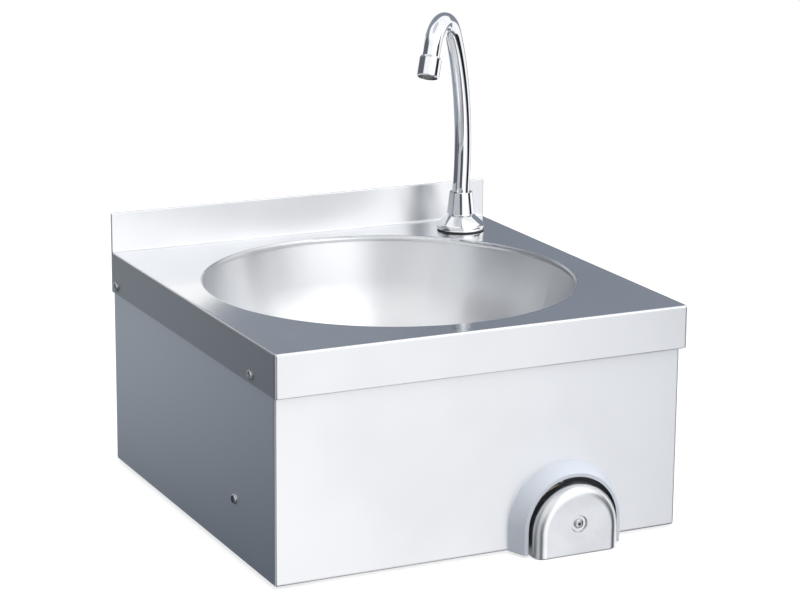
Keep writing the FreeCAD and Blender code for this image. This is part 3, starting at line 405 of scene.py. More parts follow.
def moulding(name, colour, rough, grain=0.02, scale=1800.0, spread=0.03, painted_shade_mask=None):
    """Moulded plastic or rubber with a fine grain, and painted shade where its shade mask gives more than 0.
    """
    def build(net):
        place = net.spot()
        fine = net.noise(place, scale, 3.0, 0.6)
        cloud = net.noise(place, 25.0, 2.0)
        tone = net.blend(cloud.ramp(0.25, 0.75), shade(colour, 1 - spread), shade(colour, 1 + spread))
        # Painted shade: where the mask gives 1, the colour goes to a fifth of its tone.
        if painted_shade_mask:
            tone = net.blend(painted_shade_mask(net), tone, shade(colour, 0.2))
        return {"Base_Color": tone, "Roughness": rough + 0.08 * (fine - 0.5),
                "Normal": net.bump(fine, grain * MM)}
    return finish(name, build)


# --- modelling by hand -------------------------------------------------------------------
def start(kind, name, **settings):
    """Adds a primitive with nothing else selected."""
    bpy.ops.object.select_all(action="DESELECT")
    getattr(bpy.ops.mesh, "primitive_" + kind + "_add")(**settings)
    piece = bpy.context.active_object
    piece.name = piece.data.name = name
    return piece


def select(*pieces):
    bpy.ops.object.select_all(action="DESELECT")
    for piece in pieces:
        piece.select_set(True)
    bpy.context.view_layer.objects.active = pieces[0]


@contextmanager
def editing(piece, everything=True):
    select(piece)
    bpy.ops.object.mode_set(mode="EDIT")
    bpy.ops.mesh.select_all(action="SELECT" if everything else "DESELECT")
    yield
    bpy.ops.object.mode_set(mode="OBJECT")


def pick(piece, test, edges=False):
    """Selects the faces whose middle and normal pass the test, or the edges whose middle and way do."""
    mesh = piece.data
    for group in (mesh.vertices, mesh.edges, mesh.polygons):
        for item in group:
            item.select = False
    for item in mesh.edges if edges else mesh.polygons:
        if edges:
            one, other = (mesh.vertices[i].co for i in item.vertices)
            item.select = bool(test((one + other) / 2, (other - one).normalized()))
        else:
            item.select = bool(test(item.center, item.normal))


@contextmanager
def editing_picked(piece, test, edges=False):
    select(piece)
    bpy.context.tool_settings.mesh_select_mode = (False, edges, not edges)
    pick(piece, test, edges)
    bpy.ops.object.mode_set(mode="EDIT")
    yield
    bpy.ops.object.mode_set(mode="OBJECT")
    bpy.context.tool_settings.mesh_select_mode = (True, False, False)


def applied(piece, kind, **settings):
    """Adds a modifier, sets it and applies it."""
    select(piece)
    bpy.ops.object.modifier_add(type=kind)
    modifier = piece.modifiers[-1]
    for name, value in settings.items():
        setattr(modifier, name, value)
    bpy.ops.object.modifier_apply(modifier=modifier.name)
    return piece


def cut(piece, cutter, operation="DIFFERENCE"):
    applied(piece, "BOOLEAN", operation=operation, object=cutter)
    bpy.data.objects.remove(cutter)
    return piece


def placed(piece, matrix):
    """Moves a piece made about the origin to its place, and leaves its object at the origin."""
    piece.matrix_world = matrix @ piece.matrix_world
    select(piece)
    bpy.ops.object.transform_apply(location=True, rotation=True, scale=True)
    return piece


def copied(piece):
    select(piece)
    bpy.ops.object.duplicate(linked=False)
    return bpy.context.active_object


def joined(pieces, name):
    select(*pieces)
    if len(pieces) > 1:
        bpy.ops.object.join()
    pieces[0].name = pieces[0].data.name = name
    return pieces[0]


def aim(place, direction):
    """Matrix that sends the origin to place and +Z to direction."""
    return Matrix.Translation(place) @ UP.rotation_difference(Vector(direction)).to_matrix().to_4x4()


def line(name, points):
    """Edges drawn from point to point, by extruding one vertex."""
    piece = start("plane", name, size=MM, location=points[0])
    with editing(piece):
        bpy.ops.mesh.merge(type="CENTER")
        for before, after in zip(points, points[1:]):
            step = Vector(after) - Vector(before)
            bpy.ops.mesh.extrude_region_move(TRANSFORM_OT_translate={"value": step})
    return placed(piece, Matrix())


def tidy(piece, angle=35.0):
    """Merges doubles, turns all faces outwards and shades the piece smooth up to an angle."""
    with editing(piece):
        bpy.ops.mesh.remove_doubles(threshold=HAIR)
        bpy.ops.mesh.normals_make_consistent(inside=False)
    select(piece)
    bpy.ops.object.shade_smooth_by_angle(angle=radians(angle))
    return piece


def turned(name, outline, steps=64):
    """Ring or solid spun about Z from a closed outline of (radius, height) points."""
    points = [(r, 0, h) for r, h in outline]
    piece = line(name, points + points[:1])
    with editing(piece):
        bpy.ops.mesh.remove_doubles(threshold=HAIR)
        bpy.ops.mesh.spin(steps=steps, angle=TURN, center=(0, 0, 0), axis=(0, 0, 1))
    return tidy(piece)


def arc(hub, radius, first, last, count):
    """Points on a round stretch of an outline, with angles in degrees from the radius' direction."""
    angles = [radians(first + (last - first) * i / count) for i in range(count + 1)]
    return [(hub[0] + radius * math.cos(a), hub[1] + radius * math.sin(a)) for a in angles]


def ride(piece, body, material, slot, *nodes):
    """Gives a finished piece its body, finish and the nodes that it stands for."""
    piece.data.materials.clear()
    piece.data.materials.append(material)
    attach(piece, body)
    if nodes:
        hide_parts(*nodes)
    return piece


def dress(material, *nodes):
    for node in nodes:
        for holder in frame["nodes"][node].material_slots:
            holder.material = material


# --- stage -------------------------------------------------------------------------------
def heading(azimuth):
    """Level direction, turned from +Y towards +X."""
    return Vector((math.sin(azimuth), math.cos(azimuth), 0))


# Soft fields of the surroundings that polished and satin metal shows. Each has its azimuth, half width
# and soft edge, its elevation, half height and soft edge, all in degrees, and its colour.
FIELDS = (
    ((150, 30, 16), (42, 24, 16), (1.9, 1.9, 1.91)),  # soft box, front right and high
    ((159, 8, 16), (-12, 16, 14), (1.34, 1.34, 1.35)),  # soft box ahead of the front panel
    ((138, 6, 12), (-12, 20, 16), (0.66, 0.69, 0.75)),  # grey side of the tent, right
    ((119, 16, 4), (-26, 36, 10), (0.015, 0.018, 0.022)),  # gap in the tent, right
    ((-108, 16, 6), (-10, 30, 10), (0.56, 0.58, 0.61)),  # light grey wall, far left
    ((-147, 15, 5), (-26, 32, 10), (0.09, 0.10, 0.11)),  # dark room behind the camera
    ((-58, 34, 10), (0, 36, 14), (0.13, 0.14, 0.16)),  # dark stand, left
    ((0, 180, 1), (90, 15, 8), (0.70, 0.73, 0.78)),  # ceiling
    ((0, 180, 1), (-90, 30, 16), (0.12, 0.13, 0.15)),  # underneath
)
SURROUND = (1.12, 1.12, 1.12)  # white tent outside the fields
WHITE = (1, 1, 1)


def field_amount(net, way, across, upright):
    """From 0 outside a field to 1 within it."""
    azimuth, wide, soft = across
    level, tall, fade = upright
    ahead, aside = (
        net.node("ShaderNodeVectorMath", {"operation": "DOT_PRODUCT"}, way, heading(radians(angle)))["Value"]
        for angle in (azimuth, azimuth + 90))
    turn = abs(net.maths("ARCTAN2", aside, ahead))
    rise = abs(net.maths("ARCSINE", net.split(way)[2]) - radians(level))
    return (turn.ramp(radians(wide), radians(wide + soft), 1, 0)
            * rise.ramp(radians(tall), radians(tall + fade), 1, 0))


def surroundings(settings):
    """White to the eye, plain fill on matt surfaces, and soft fields of tone in the metal."""
    world = bpy.data.worlds.new("studio")
    bpy.context.scene.world = world
    world.use_nodes = True
    net = Net(world.node_tree)
    way = net.node("ShaderNodeTexCoord")["Generated"]
    tone = SURROUND
    for across, upright, colour in FIELDS:
        tone = net.blend(field_amount(net, way, across, upright), tone, colour)
    rays = net.node("ShaderNodeLightPath")
    seen = net.blend(rays["Is Glossy Ray"], [settings.fill] * 3, tone)
    for ray in ("Is Camera Ray", "Is Transmission Ray"):
        seen = net.blend(rays[ray], seen, WHITE)
    net.node("ShaderNodeOutputWorld", None, net.node("ShaderNodeBackground", None, seen)["Background"])


def pale_floor(settings):
    """Matt floor with a glow that the eye and the metal see, so that it is white outside the shadow."""
    material, net = empty_material("pale_floor")
    rays = net.node("ShaderNodeLightPath")
    seen = rays["Is Camera Ray"] + rays["Is Glossy Ray"] + rays["Is Transmission Ray"]
    cloud = net.noise(net.spot(), 2.0)
    tone = net.blend(cloud, shade(settings.floor_colour, 0.99), shade(settings.floor_colour, 1.01))
    matt = net.node("ShaderNodeBsdfDiffuse", None, tone)["BSDF"]
    glow = net.node("ShaderNodeEmission", None, shade(WHITE), seen * settings.floor_glow)["Emission"]
    net.output(net.node("ShaderNodeAddShader", None, matt, glow)["Shader"])
    return material


def lamp(name, place, target, size, power):
    """Square lamp that shines at the target and doesn't show in the metal."""
    bpy.ops.object.light_add(type="AREA", location=place)
    light = bpy.context.active_object
    light.name = name
    light.data.shape = "SQUARE"
    light.data.size = size
    light.data.energy = power
    light.matrix_world = aim(place, Vector(place) - target)
    light.visible_glossy = False


def card(name, place, size, turns, build):
    """Card that only the metal shows. It starts facing up and turns about X and then Y, in degrees."""
    piece = start("grid", name, x_subdivisions=8, y_subdivisions=8, size=1.0)
    with editing(piece):
        bpy.ops.transform.resize(value=(size[0], size[1], 1.0), center_override=(0, 0, 0))
    turn = Matrix.Rotation(radians(turns[1]), 4, "Y") @ Matrix.Rotation(radians(turns[0]), 4, "X")
    placed(piece, Matrix.Translation(place) @ turn)
    material, net = empty_material(name)
    net.output(net.node("ShaderNodeEmission", None, build(net), 1.0)["Emission"])
    piece.data.materials.append(material)
    for kind in ("camera", "diffuse", "transmission", "volume_scatter", "shadow"):
        setattr(piece, "visible_" + kind, False)


def back_tone(net):
    """Blue-grey with a slightly lighter cloud."""
    cloud = net.noise(net.spot(), 3.0, 1.0)
    return net.blend(cloud.ramp(0.35, 0.65), (0.25, 0.28, 0.33), (0.29, 0.32, 0.37))


def side_tone(net):
    """Painted shadow of the floor, which only the metal shows: darkest beside the sink, lighter further
    back, and dark again far to the left.
    """
    x, y, _ = net.split(net.spot())
    away = y - 0.35 * x
    near = net.blend(away.ramp(-0.35, 0.75), (0.11, 0.135, 0.17), (0.36, 0.40, 0.455))
    return net.blend(x.ramp(-0.75, -0.55), (0.12, 0.13, 0.15), near)


def set_camera(scene, settings):
    """Adds the camera of the settings and makes it the scene's own."""
    drop, roll = settings.camera_drop, settings.camera_roll
    forward = math.cos(drop) * heading(settings.camera_azimuth) - math.sin(drop) * UP
    right = forward.cross(UP).normalized()
    top = right.cross(forward)
    right, top = (math.cos(roll) * right + math.sin(roll) * top,
                  math.cos(roll) * top - math.sin(roll) * right)
    bpy.ops.object.camera_add()
    camera = bpy.context.active_object
    camera.name = "camera"
    camera.data.lens = settings.lens
    camera.data.sensor_width = 36.0
    axes = Matrix((right, top, -forward)).transposed().to_4x4()
    camera.matrix_world = Matrix.Translation(settings.camera_place) @ axes
    scene.camera = camera
    scene.view_settings.view_transform = "Standard"


class SINK_OT_stage(bpy.types.Operator):
    """Sets up the floor, the light and the camera."""

    bl_idname = "sink.stage"
    bl_label = "Stage"

    def execute(self, context):
        settings = context.scene.sink_stage
        low, high = (Vector(corner) for corner in cad_bounds)
        target = (low + high) / 2
        floor = start("grid", "floor", x_subdivisions=4, y_subdivisions=4, size=settings.floor_size,
                      location=(target.x, target.y, low.z - 0.2 * MM))
        placed(floor, Matrix())
        floor.data.materials.append(pale_floor(settings))
        floor.visible_glossy = False
        surroundings(settings)
        card("back_card", (0.545, 0.50, 0.60), size=(1.7, 1.0), turns=(90, 36.8), build=back_tone)
        # The side card lies on the floor with a painted shadow beside the sink, seen only in the metal.
        card("side_card", (-0.93, 0.67, low.z), size=(1.54, 2.11), turns=(0, 0), build=side_tone)
        lamp("key", (0.1, -0.9, 2.6), target, size=1.8, power=settings.key_power)
        lamp("side", (1.5, -1.9, 0.9), target, size=1.6, power=settings.side_power)
        set_camera(context.scene, settings)
        return {"FINISHED"}


# --- sheet steel -------------------------------------------------------------------------
class SINK_OT_sheets(bpy.types.Operator):
    """Finishes the deck, the casing, the bowl, the strainer and the push cover."""

    bl_idname = "sink.sheets"
    bl_label = "Sheet steel"

    def execute(self, context):
        colours = context.scene.sink_finish
        # The deck's sides carry painted shade at 0.60 of the steel's colour, the casing's at 0.98.
        deck = satin_sheet("satin_deck", colours, rough=0.38, top_rough=0.10, side_tone=0.60)
        dress(deck, "top_deck")
        casing = satin_sheet("satin_casing", colours, rough=0.36, top_rough=0.36, side_tone=0.98)
        dress(casing, "casing")
        dress(spun_steel(colours, centre("bowl")), "bowl", "waste_strainer")
        pressed = plain_metal("pressed_cover", colours.steel, 0.34, spread=0.06, scale=30.0, bump=0.004,
                              Anisotropic=0.6, Anisotropic_Rotation=0.25)
        dress(pressed, "push_cover")
        zinc = plain_metal("zinc_plate", (0.60, 0.61, 0.62), 0.36, spread=0.12, scale=40.0)
        dress(zinc, "valve_bracket", "valve_washer", "tap_washer")
        return {"FINISHED"}


# --- screws ------------------------------------------------------------------------------
# Shank radius, shank length and pitch of each kind of screw.
CASING_SHANK = (2.0 * MM, 14 * MM, 1.25 * MM)
HOOD_SHANK = (1.5 * MM, 8 * MM, 0.8 * MM)
COVER_SHANK = (2.5 * MM, 14 * MM, 0.9 * MM)
WASTE_SHANK = (3.0 * MM, 11.5 * MM, 1.0 * MM)


def screw(name, head, rise, sizes, recess):
    """Domed screw with a ridged shank. Its seat is the origin, and its head points along +Z."""
    shank, length, pitch = sizes
    dome = [(head, 0.0), (head, 0.35 * rise)] + arc((0.55 * head, 0.3 * rise), 0.45 * head, 10, 80, 5)
    top = max(h for _, h in dome)
    dome = [(r, h * rise / top) for r, h in dome]
    core = 0.82 * shank
    ridges = []
    for i in range(int(length / pitch)):
        low = -length + i * pitch
        ridges += [(core, low), (shank, low + 0.5 * pitch)]
    tip = [(HAIR, -length - shank), (0.3 * shank, -length - 0.7 * shank)]
    piece = turned(name, tip + ridges + [(core, 0.0)] + dome + [(HAIR, rise)], 32)
    cut(piece, recess(head, rise))
    return tidy(piece, 30.0)


def cross_recess(head, rise):
    """Two crossed wedges."""
    blades = []
    for turn in (0, 90):
        blade = start("cube", "blade", size=1.0)
        with editing(blade):
            bpy.ops.transform.resize(value=(0.95 * head, 0.17 * head, 1.5 * rise),
                                     center_override=(0, 0, 0))
        with editing_picked(blade, lambda place, normal: normal.z < -0.5):
            bpy.ops.transform.resize(value=(0.35, 0.6, 1.0))
        placed(blade, Matrix.Translation((0, 0, 1.05 * rise)) @ Matrix.Rotation(radians(turn), 4, "Z"))
        blades.append(blade)
    applied(blades[0], "BOOLEAN", operation="UNION", object=blades[1])
    bpy.data.objects.remove(blades[1])
    return blades[0]


def hex_recess(head, rise):
    """Six-sided socket with a pointed floor."""
    socket = start("cylinder", "socket", vertices=6, radius=0.36 * head, depth=4 * rise)
    with editing_picked(socket, lambda place, normal: normal.z < -0.5):
        bpy.ops.mesh.inset(thickness=0.12 * head)
        bpy.ops.transform.translate(value=(0, 0, -0.15 * rise))
    return placed(socket, Matrix())


def side_screws(model, node, head, rise, steel):
    """Copies of a screw on both sides of the body, one or two to a side as the node's box has it."""
    low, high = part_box(node)
    backs = sorted({round(low.y + head, 6), round(high.y - head, 6)})
    heads = []
    for side in (-1, 1):
        for i, y in enumerate(backs):
            place = Vector((side * (high.x - rise), y, (low.z + high.z) / 2))
            turn = Matrix.Rotation(radians(23 + 57 * i), 4, "Z")
            heads.append(placed(copied(model), aim(place, (side, 0, 0)) @ turn))
    ride(joined(heads, node + "_detail"), SINK, steel, "screw_steel", node)


def hood_screws(head, rise, steel):
    """The screws in the hood's gap: one at its crown and one at each end of its arch."""
    low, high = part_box("hood_screws")
    model = screw("hood_screw", head, rise, HOOD_SHANK, cross_recess)
    middle, reach, seat = (low.x + high.x) / 2, (high.x - low.x) / 2 - head, low.y + rise
    heads = []
    for i, angle in enumerate((-90, -7, 90)):
        way = radians(angle)
        place = (middle + reach * math.sin(way), seat, low.z + head + reach * math.cos(way))
        turn = Matrix.Rotation(radians(20 + 40 * i), 4, "Z")
        heads.append(placed(copied(model), aim(place, AHEAD) @ turn))
    ride(joined(heads, "hood_screws_detail"), SINK, steel, "screw_steel", "hood_screws")
    bpy.data.objects.remove(model)


def lone_screw(node, body, way, rise, sizes, recess, steel):
    """A screw whose head fills the end of the node's box that faces way."""
    low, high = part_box(node)
    half = (high - low) / 2
    model = screw(node + "_detail", half.x, rise, sizes, recess)
    placed(model, aim(centre(node) + way * (abs(half.dot(way)) - rise), way))
    ride(model, body, steel, "screw_steel", node)


class SINK_OT_screws(bpy.types.Operator):
    """Models the screws of the apron, the casing, the hood, the push cover and the waste."""

    bl_idname = "sink.screws"
    bl_label = "Screws"

    def execute(self, context):
        sizes = context.scene.sink_detail
        steel = plain_metal("screw_steel", (0.52, 0.53, 0.55), 0.26, spread=0.1, scale=400.0)
        head, rise = sizes.screw_head, sizes.screw_rise
        model = screw("casing_screw", head, rise, CASING_SHANK, cross_recess)
        for node in ("apron_screws", "bracket_screws"):
            side_screws(model, node, head, rise, steel)
        bpy.data.objects.remove(model)
        hood_screws(head=3.0 * MM, rise=1.8 * MM, steel=steel)
        lone_screw("cover_screw", PUSH, AHEAD, 2.0 * MM, COVER_SHANK, hex_recess, steel)
        lone_screw("waste_screw", SINK, UP, 2.5 * MM, WASTE_SHANK, cross_recess, steel)
        return {"FINISHED"}


# --- knee push ---------------------------------------------------------------------------
def painted_hood_shade(low, high):
    """Mask of painted shade: 1 on the faces that look at the hood's axis, from just behind its mouth."""
    hub_x, level, mouth = (low.x + high.x) / 2, high.z - (high.x - low.x) / 2, low.y

    def build(net):
        x, y, z = net.split(net.spot())
        nx, _, nz = net.facing()
        rise = net.maths("MAXIMUM", z, level) - level
        facing = (x - hub_x) * nx + rise * nz
        return facing.ramp(0.002, 0.0, 0, 1) * y.ramp(mouth + 0.3 * MM, mouth + 4 * MM)
    return build


def coil(name, wire, mean, span, coils):
    """Spring wound up along Z from the origin, its wire's ends closed."""
    piece = start("circle", name, vertices=16, radius=wire)
    placed(piece, Matrix.Translation((mean, 0, wire)) @ Matrix.Rotation(math.pi / 2, 4, "X"))
    steps = int(48 * coils)
    applied(piece, "SCREW", angle=TURN * coils, screw_offset=span, steps=steps, render_steps=steps,
            axis="Z", use_smooth_shade=True)
    with editing(piece):
        bpy.ops.mesh.fill_holes(sides=0)
    return tidy(piece, 60.0)


class SINK_OT_push(bpy.types.Operator):
    """Finishes the hood and the push, and coils the return spring."""

    bl_idname = "sink.push"
    bl_label = "Knee push"

    def execute(self, context):
        sizes, colours = context.scene.sink_detail, context.scene.sink_finish
        # The hood's moulding carries painted shade on its inside.
        painted_shade_mask = painted_hood_shade(*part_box("push_hood"))
        dress(moulding("hood_moulding", colours.hood, 0.55, painted_shade_mask=painted_shade_mask), "push_hood")
        drawn = plain_metal("drawn_steel", (0.62, 0.62, 0.63), 0.28, spread=0.1, scale=200.0)
        dress(drawn, "push_rod", "spring_cap", "poppet_nut")

        low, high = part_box("return_spring")
        wire, middle = sizes.wire, (low + high) / 2
        spring = coil("return_spring_detail", wire, (high.x - low.x) / 2 - wire,
                      high.y - low.y - 2 * wire, sizes.coils)
        placed(spring, aim((middle.x, low.y, middle.z), BACK))
        ride(spring, SINK, drawn, "spring_steel", "return_spring")
        travel = joint("knee_push")["range_m"][1]
        1 - travel / (high.y - low.y)
        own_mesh(spring)
        return {"FINISHED"}


# --- tap ---------------------------------------------------------------------------------
def neck_tube(tap, axis):
    """The swan neck, drawn as a ring that is extruded up and spun round each of its bends."""
    deck = axis.z
    foot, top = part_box("spout_tube")[0].z - deck, tap.straight
    ring = start("circle", "swan_neck_tube", vertices=40, radius=tap.tube, location=(0, 0, foot))
    # Each bend: the heading before it and after it, its radius and its steps.
    bends = ((0.0, -tap.lean, tap.lean_radius, 8), (-tap.lean, tap.bow, tap.bow_radius, 40),
             (tap.bow, tap.bend, tap.bend_radius, 40))
    reach = Vector((0, 0, top))
    with editing(ring):
        bpy.ops.mesh.extrude_region_move(TRANSFORM_OT_translate={"value": (0, 0, top - foot)})
        for before, after, radius, steps in bends:
            side = 1 if after > before else -1
            out = Vector((math.cos(before), 0, -math.sin(before)))
            hub = reach + side * radius * out
            bpy.ops.mesh.spin(steps=steps, angle=before - after, center=hub, axis=(0, 1, 0))
            reach = hub - side * radius * Vector((math.cos(after), 0, -math.sin(after)))
        way = Vector((math.sin(tap.bend), 0, math.cos(tap.bend)))
        straight = tap.outlet - tap.aerator
        bpy.ops.mesh.extrude_region_move(TRANSFORM_OT_translate={"value": way * straight})
        bpy.ops.mesh.select_all(action="SELECT")
        bpy.ops.mesh.remove_doubles(threshold=HAIR)
        bpy.ops.mesh.normals_make_consistent(inside=False)
    applied(ring, "SOLIDIFY", thickness=tap.wall, offset=-1.0)
    select(ring)
    bpy.ops.object.shade_smooth_by_angle(angle=radians(40))
    place = Matrix.Translation(axis) @ Matrix.Rotation(tap.turn, 4, "Z")
    return placed(ring, place)


def crisp(piece, width):
    """Small rounded edges on a faceted piece."""
    applied(piece, "BEVEL", width=width, segments=2, limit_method="ANGLE", angle_limit=radians(14))
    return tidy(piece, 12.0)


def fluted(name, facets, low_flat, top_flat, height, base):
    """Tapered prism: its flats lie at the given distances from the axis, at its foot and its top."""
    corner = low_flat / math.cos(math.pi / facets)
    piece = start("cylinder", name, vertices=facets, radius=corner, depth=height,
                  location=(0, 0, base + height / 2), rotation=(0, 0, math.pi / facets))
    placed(piece, Matrix())
    with editing_picked(piece, lambda place, normal: normal.z > 0.5):
        ratio = top_flat / low_flat
        bpy.ops.transform.resize(value=(ratio, ratio, 1.0))
    return piece


def bored(piece, radius):
    """Cuts a round hole along Z through a piece."""
    return cut(piece, start("cylinder", "bore", vertices=48, radius=radius, depth=THROUGH))


def tap_flange(facets, radius, height):
    """Round rim with a faceted cone on it. The cone's top is as wide as the gland nut needs."""
    bore, rim, edge, lap = 10.6 * MM, 4.0 * MM, 1.1 * MM, 0.5 * MM
    rounded = arc((radius - edge, rim - edge), edge, 0, 90, 4)
    base = turned("tap_flange_detail", [(bore, 0), (radius - 0.3 * MM, 0), (radius, 0.5 * MM),
                                        (radius, rim - edge)] + rounded + [(bore, rim)], 96)
    cone = fluted("cone", facets, radius - 0.8 * MM, 12.0 * MM, height - rim + lap, rim - lap)
    hull = start("cylinder", "hull", vertices=96, radius=radius - 0.9 * MM, depth=THROUGH)
    cut(cone, hull, "INTERSECT")
    crisp(bored(cone, bore), 0.35 * MM)
    return joined([base, cone], "tap_flange_detail")


def gland_nut(facets, height):
    """Tapered faceted nut with rounded corners, turned down at its foot and its top."""
    low_flat, top_flat = 13.4 * MM, 10.9 * MM
    nut = fluted("collar_nut_detail", facets, low_flat, top_flat, height, 0)
    with editing_picked(nut, lambda place, way: abs(way.z) > 0.8, edges=True):
        bpy.ops.mesh.bevel(offset=2.4 * MM, segments=4, affect="EDGES")
    wide = low_flat / math.cos(math.pi / facets) + 0.4 * MM
    outline = [(HAIR, 0), (12.4 * MM, 0), (wide, 2.3 * MM), (wide, height - 1.4 * MM),
               (top_flat, height), (HAIR, height)]
    cut(nut, turned("trim", outline, 96), "INTERSECT")
    return crisp(bored(nut, 8.55 * MM), 0.3 * MM)


class SINK_OT_tap(bpy.types.Operator):
    """Models the swan neck, the flange and the gland nut, and finishes the aerator."""

    bl_idname = "sink.tap"
    bl_label = "Tap"

    def execute(self, context):
        tap, colours = context.scene.sink_tap, context.scene.sink_finish
        chrome = plain_metal("bright_chrome", colours.chrome, 0.045, spread=0.03, scale=30.0, bump=0.0015)
        axis = Vector(joint("spout_swivel")["pos_m"])
        ride(neck_tube(tap, axis), SPOUT, chrome, "bright_chrome", "spout_tube")

        low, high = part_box("tap_flange")
        flange = tap_flange(tap.facets, (high.x - low.x) / 2, high.z - low.z)
        placed(flange, Matrix.Translation((axis.x, axis.y, low.z)))
        ride(flange, SINK, chrome, "bright_chrome", "tap_flange")

        low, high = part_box("collar_nut")
        nut = gland_nut(tap.facets, high.z - low.z)
        placed(nut, Matrix.Translation((axis.x, axis.y, low.z)))
        ride(nut, SINK, chrome, "bright_chrome", "collar_nut")

        dress(chrome, "aerator_shell")
        dress(moulding("insert_moulding", (0.05, 0.05, 0.055), 0.4), "aerator_insert", "spout_bush")
        return {"FINISHED"}


# --- waste, valve and hose ---------------------------------------------------------------
PIPE_RADIUS = 10.475 * MM  # shaft under the half-inch threads
WASTE_RADIUS, WASTE_PITCH = 23.9 * MM, 2.31 * MM


def thread(name, radius, pitch, place, direction, length, height=0.35 * MM):
    """One helical ridge that stands proud of a plain shaft by height."""
    turns = max(1, int(length / pitch) - 1)
    low, crest = radius - 0.05 * MM, radius + height
    foot = (low, 0, 0)
    profile = [foot, (crest, 0, 0.42 * pitch), (crest, 0, 0.58 * pitch), (low, 0, pitch), foot]
    ridge = line(name, profile)
    with editing(ridge):
        bpy.ops.mesh.remove_doubles(threshold=HAIR)
    applied(ridge, "SCREW", angle=TURN, screw_offset=pitch, iterations=turns, steps=48, render_steps=48,
            axis="Z", use_merge_vertices=True)
    with editing(ridge):
        bpy.ops.mesh.fill_holes(sides=0)
    tidy(ridge, 30.0)
    return placed(ridge, aim(place, direction))


class SINK_OT_plumbing(bpy.types.Operator):
    """Finishes the waste, the valve and their seals, and adds the ridges of their threads."""

    bl_idname = "sink.plumbing"
    bl_label = "Waste and valve"

    def execute(self, context):
        sizes, colours = context.scene.sink_detail, context.scene.sink_finish
        brass = plain_metal("turned_brass", colours.brass, 0.3, spread=0.12, scale=120.0)
        dress(brass, "valve_body", "valve_bonnet", "valve_lock_nut", "valve_poppet", "inlet_union",
              "outlet_elbow", "tap_shank", "tap_lock_nut", "spout_spigot")
        rubber = moulding("black_rubber", colours.rubber, 0.7, grain=0.03)
        dress(rubber, "waste_top_seal", "waste_low_seal", "tap_base_seal", "tap_seal", "rod_seal",
              "poppet_washer", "spout_rings", "hose_washers")
        white = moulding("waste_moulding", (0.78, 0.78, 0.76), 0.42)
        dress(white, "waste_body")

        hub, foot = centre("waste_body"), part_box("waste_body")[0].z + 0.8 * MM
        ridge = thread("waste_thread", WASTE_RADIUS, WASTE_PITCH, (hub.x, hub.y, foot), UP, 24 * MM,
                       height=0.5 * MM)
        ride(ridge, SINK, white, "waste_plastic")
        hub, foot = centre("inlet_union"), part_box("inlet_union")[1].y - 14.6 * MM
        ridge = thread("inlet_thread", PIPE_RADIUS, sizes.pitch, (hub.x, foot, hub.z), BACK, 14 * MM)
        ride(ridge, SINK, brass, "plain_brass")
        hub, foot = centre("tap_shank"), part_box("tap_shank")[0].z + 10 * MM
        ridge = thread("shank_thread", PIPE_RADIUS, sizes.pitch, (hub.x, hub.y, foot), UP, 25 * MM)
        ride(ridge, SINK, brass, "plain_brass")
        return {"FINISHED"}


# The hose's line from the elbow to the tap, in millimetres: each place, the way that the hose runs
# there, and the lengths of the handles before and after it.
HOSE_LINE = (
    ((120.5, -266.0, -71.5), (0, 1, 0), 20.0, 20.0),
    ((120.5, -206.02, -71.5), (0, 1, 0), 20.0, 10.65),
    ((123.88, -174.34, -71.5), (0.2111, 0.9775, 0), 10.65, 16.9),
    ((134.61, -124.70, -71.5), (0.2111, 0.9775, 0), 16.9, 44.18),
    ((151.5, -46.5, 8.5), (0, 0, 1), 44.18, 17.2),
    ((151.5, -46.5, 60.0), (0, 0, 1), 17.2, 17.2),
)
HOSE_LENGTH = 319.8 * MM
BORE, CORE = 4.0 * MM, 5.55 * MM  # radii of the rubber tube in the braid
OVER, UNDER = 5.98 * MM, 5.80 * MM  # outer radii of the braid's two layers


def hose_line():
    """The curve that the straight hose is bent along."""
    bpy.ops.object.select_all(action="DESELECT")
    bpy.ops.curve.primitive_bezier_curve_add()
    curve = bpy.context.active_object
    spline = curve.data.splines[0]
    curve.data.resolution_u = 32
    spline.bezier_points.add(len(HOSE_LINE) - 2)
    for point, (place, way, before, after) in zip(spline.bezier_points, HOSE_LINE):
        place, way = Vector(place) * MM, Vector(way).normalized() * MM
        point.handle_left_type = point.handle_right_type = "FREE"
        point.co, point.handle_left, point.handle_right = place, place - before * way, place + after * way
    return curve


def braid_strand(name, radius, pitch, sense):
    """A flat band of three wires, wound round the hose."""
    wide, thick, wires = 2.5 * MM, 0.22 * MM, 3
    outline = [(radius - thick, 0, 0)]
    for i in range(2 * wires + 1):
        outline.append((radius - (0 if i % 2 else 0.5 * thick), 0, wide * i / (2 * wires)))
    outline.append((radius - thick, 0, wide))
    band = line(name, outline + outline[:1])
    with editing(band):
        bpy.ops.mesh.remove_doubles(threshold=HAIR)
    length = HOSE_LENGTH - wide
    applied(band, "SCREW", angle=sense * TURN * length / pitch, screw_offset=length, steps=190,
            render_steps=190, axis="Z", use_merge_vertices=False)
    return tidy(band, 50.0)


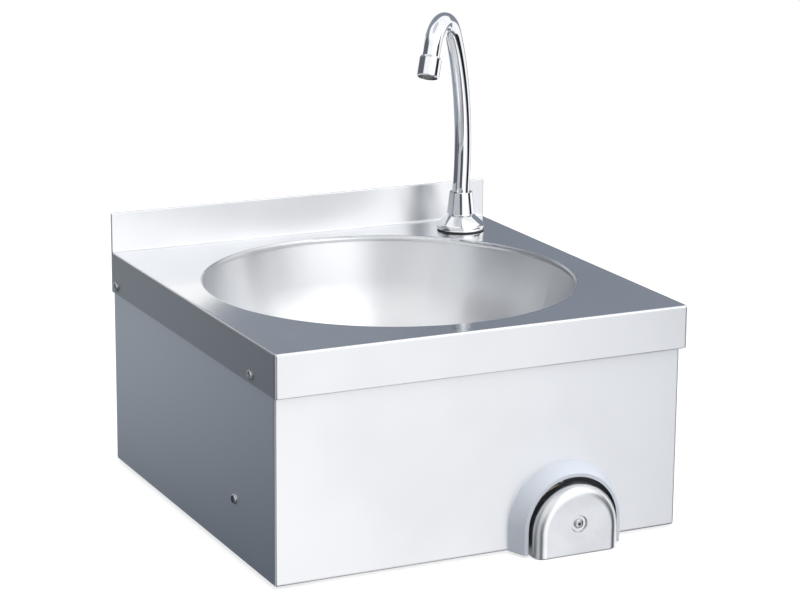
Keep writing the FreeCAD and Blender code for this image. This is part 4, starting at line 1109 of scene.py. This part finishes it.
class SINK_OT_hose(bpy.types.Operator):
    """Models the braided supply hose and finishes its fittings."""

    bl_idname = "sink.hose"
    bl_label = "Supply hose"

    def execute(self, context):
        sizes, colours = context.scene.sink_detail, context.scene.sink_finish
        curve = hose_line()
        bands = []
        for sense, radius in ((1, OVER), (-1, UNDER)):
            model = braid_strand("band", radius, sizes.lay, sense)
            for i in range(sizes.strands):
                bands.append(placed(copied(model), Matrix.Rotation(TURN * i / sizes.strands, 4, "Z")))
            bpy.data.objects.remove(model)
        braid = joined(bands, "supply_hose_braid")
        applied(braid, "CURVE", object=curve, deform_axis="POS_Z")
        wire = plain_metal("braided_wire", (0.62, 0.63, 0.65), 0.3, spread=0.1, scale=300.0, bump=0.02)
        ride(braid, SINK, wire, "hose_braid", "supply_hose")
        core = turned("supply_hose_core", [(BORE, 0), (CORE, 0), (CORE, MM), (BORE, MM)], 32)
        with editing_picked(core, lambda place, normal: normal.z > 0.5):
            bpy.ops.transform.translate(value=(0, 0, HOSE_LENGTH - MM))
        with editing_picked(core, lambda place, way: abs(way.z) > 0.9, edges=True):
            bpy.ops.mesh.subdivide(number_cuts=90)
        applied(core, "CURVE", object=curve, deform_axis="POS_Z")
        ride(core, SINK, moulding("hose_core", colours.rubber, 0.6), "black_rubber")
        bpy.data.objects.remove(curve)
        nickel = plain_metal("nickel_fitting", (0.70, 0.69, 0.67), 0.2, spread=0.06, scale=120.0)
        dress(nickel, "hose_ferrules", "hose_nuts")
        return {"FINISHED"}


class SINK_PT_panel(bpy.types.Panel):
    """Lists the steps that build the sink."""

    bl_label = "Hand wash sink"
    bl_idname = "SINK_PT_panel"
    bl_space_type = "VIEW_3D"
    bl_region_type = "UI"
    bl_category = "Sink"

    def draw(self, context):
        for step in STEPS:
            self.layout.operator(step.bl_idname)


STEPS = (SINK_OT_stage, SINK_OT_sheets, SINK_OT_screws, SINK_OT_push, SINK_OT_tap, SINK_OT_plumbing,
         SINK_OT_hose)
GROUPS = {"sink_stage": StageSettings, "sink_tap": TapSettings, "sink_detail": DetailSettings,
          "sink_finish": FinishSettings}


def register():
    for kind in (*GROUPS.values(), *STEPS, SINK_PT_panel):
        bpy.utils.register_class(kind)
    for name, kind in GROUPS.items():
        setattr(bpy.types.Scene, name, bpy.props.PointerProperty(type=kind))


def unregister():
    for name in GROUPS:
        delattr(bpy.types.Scene, name)
    for kind in (SINK_PT_panel, *STEPS[::-1], *GROUPS.values()):
        bpy.utils.unregister_class(kind)


def main():
    register()
    bpy.ops.sink.stage()
    bpy.ops.sink.sheets()
    bpy.ops.sink.screws()
    bpy.ops.sink.push()
    bpy.ops.sink.tap()
    bpy.ops.sink.plumbing()
    bpy.ops.sink.hose()


if __name__ == "__main__":
    main()
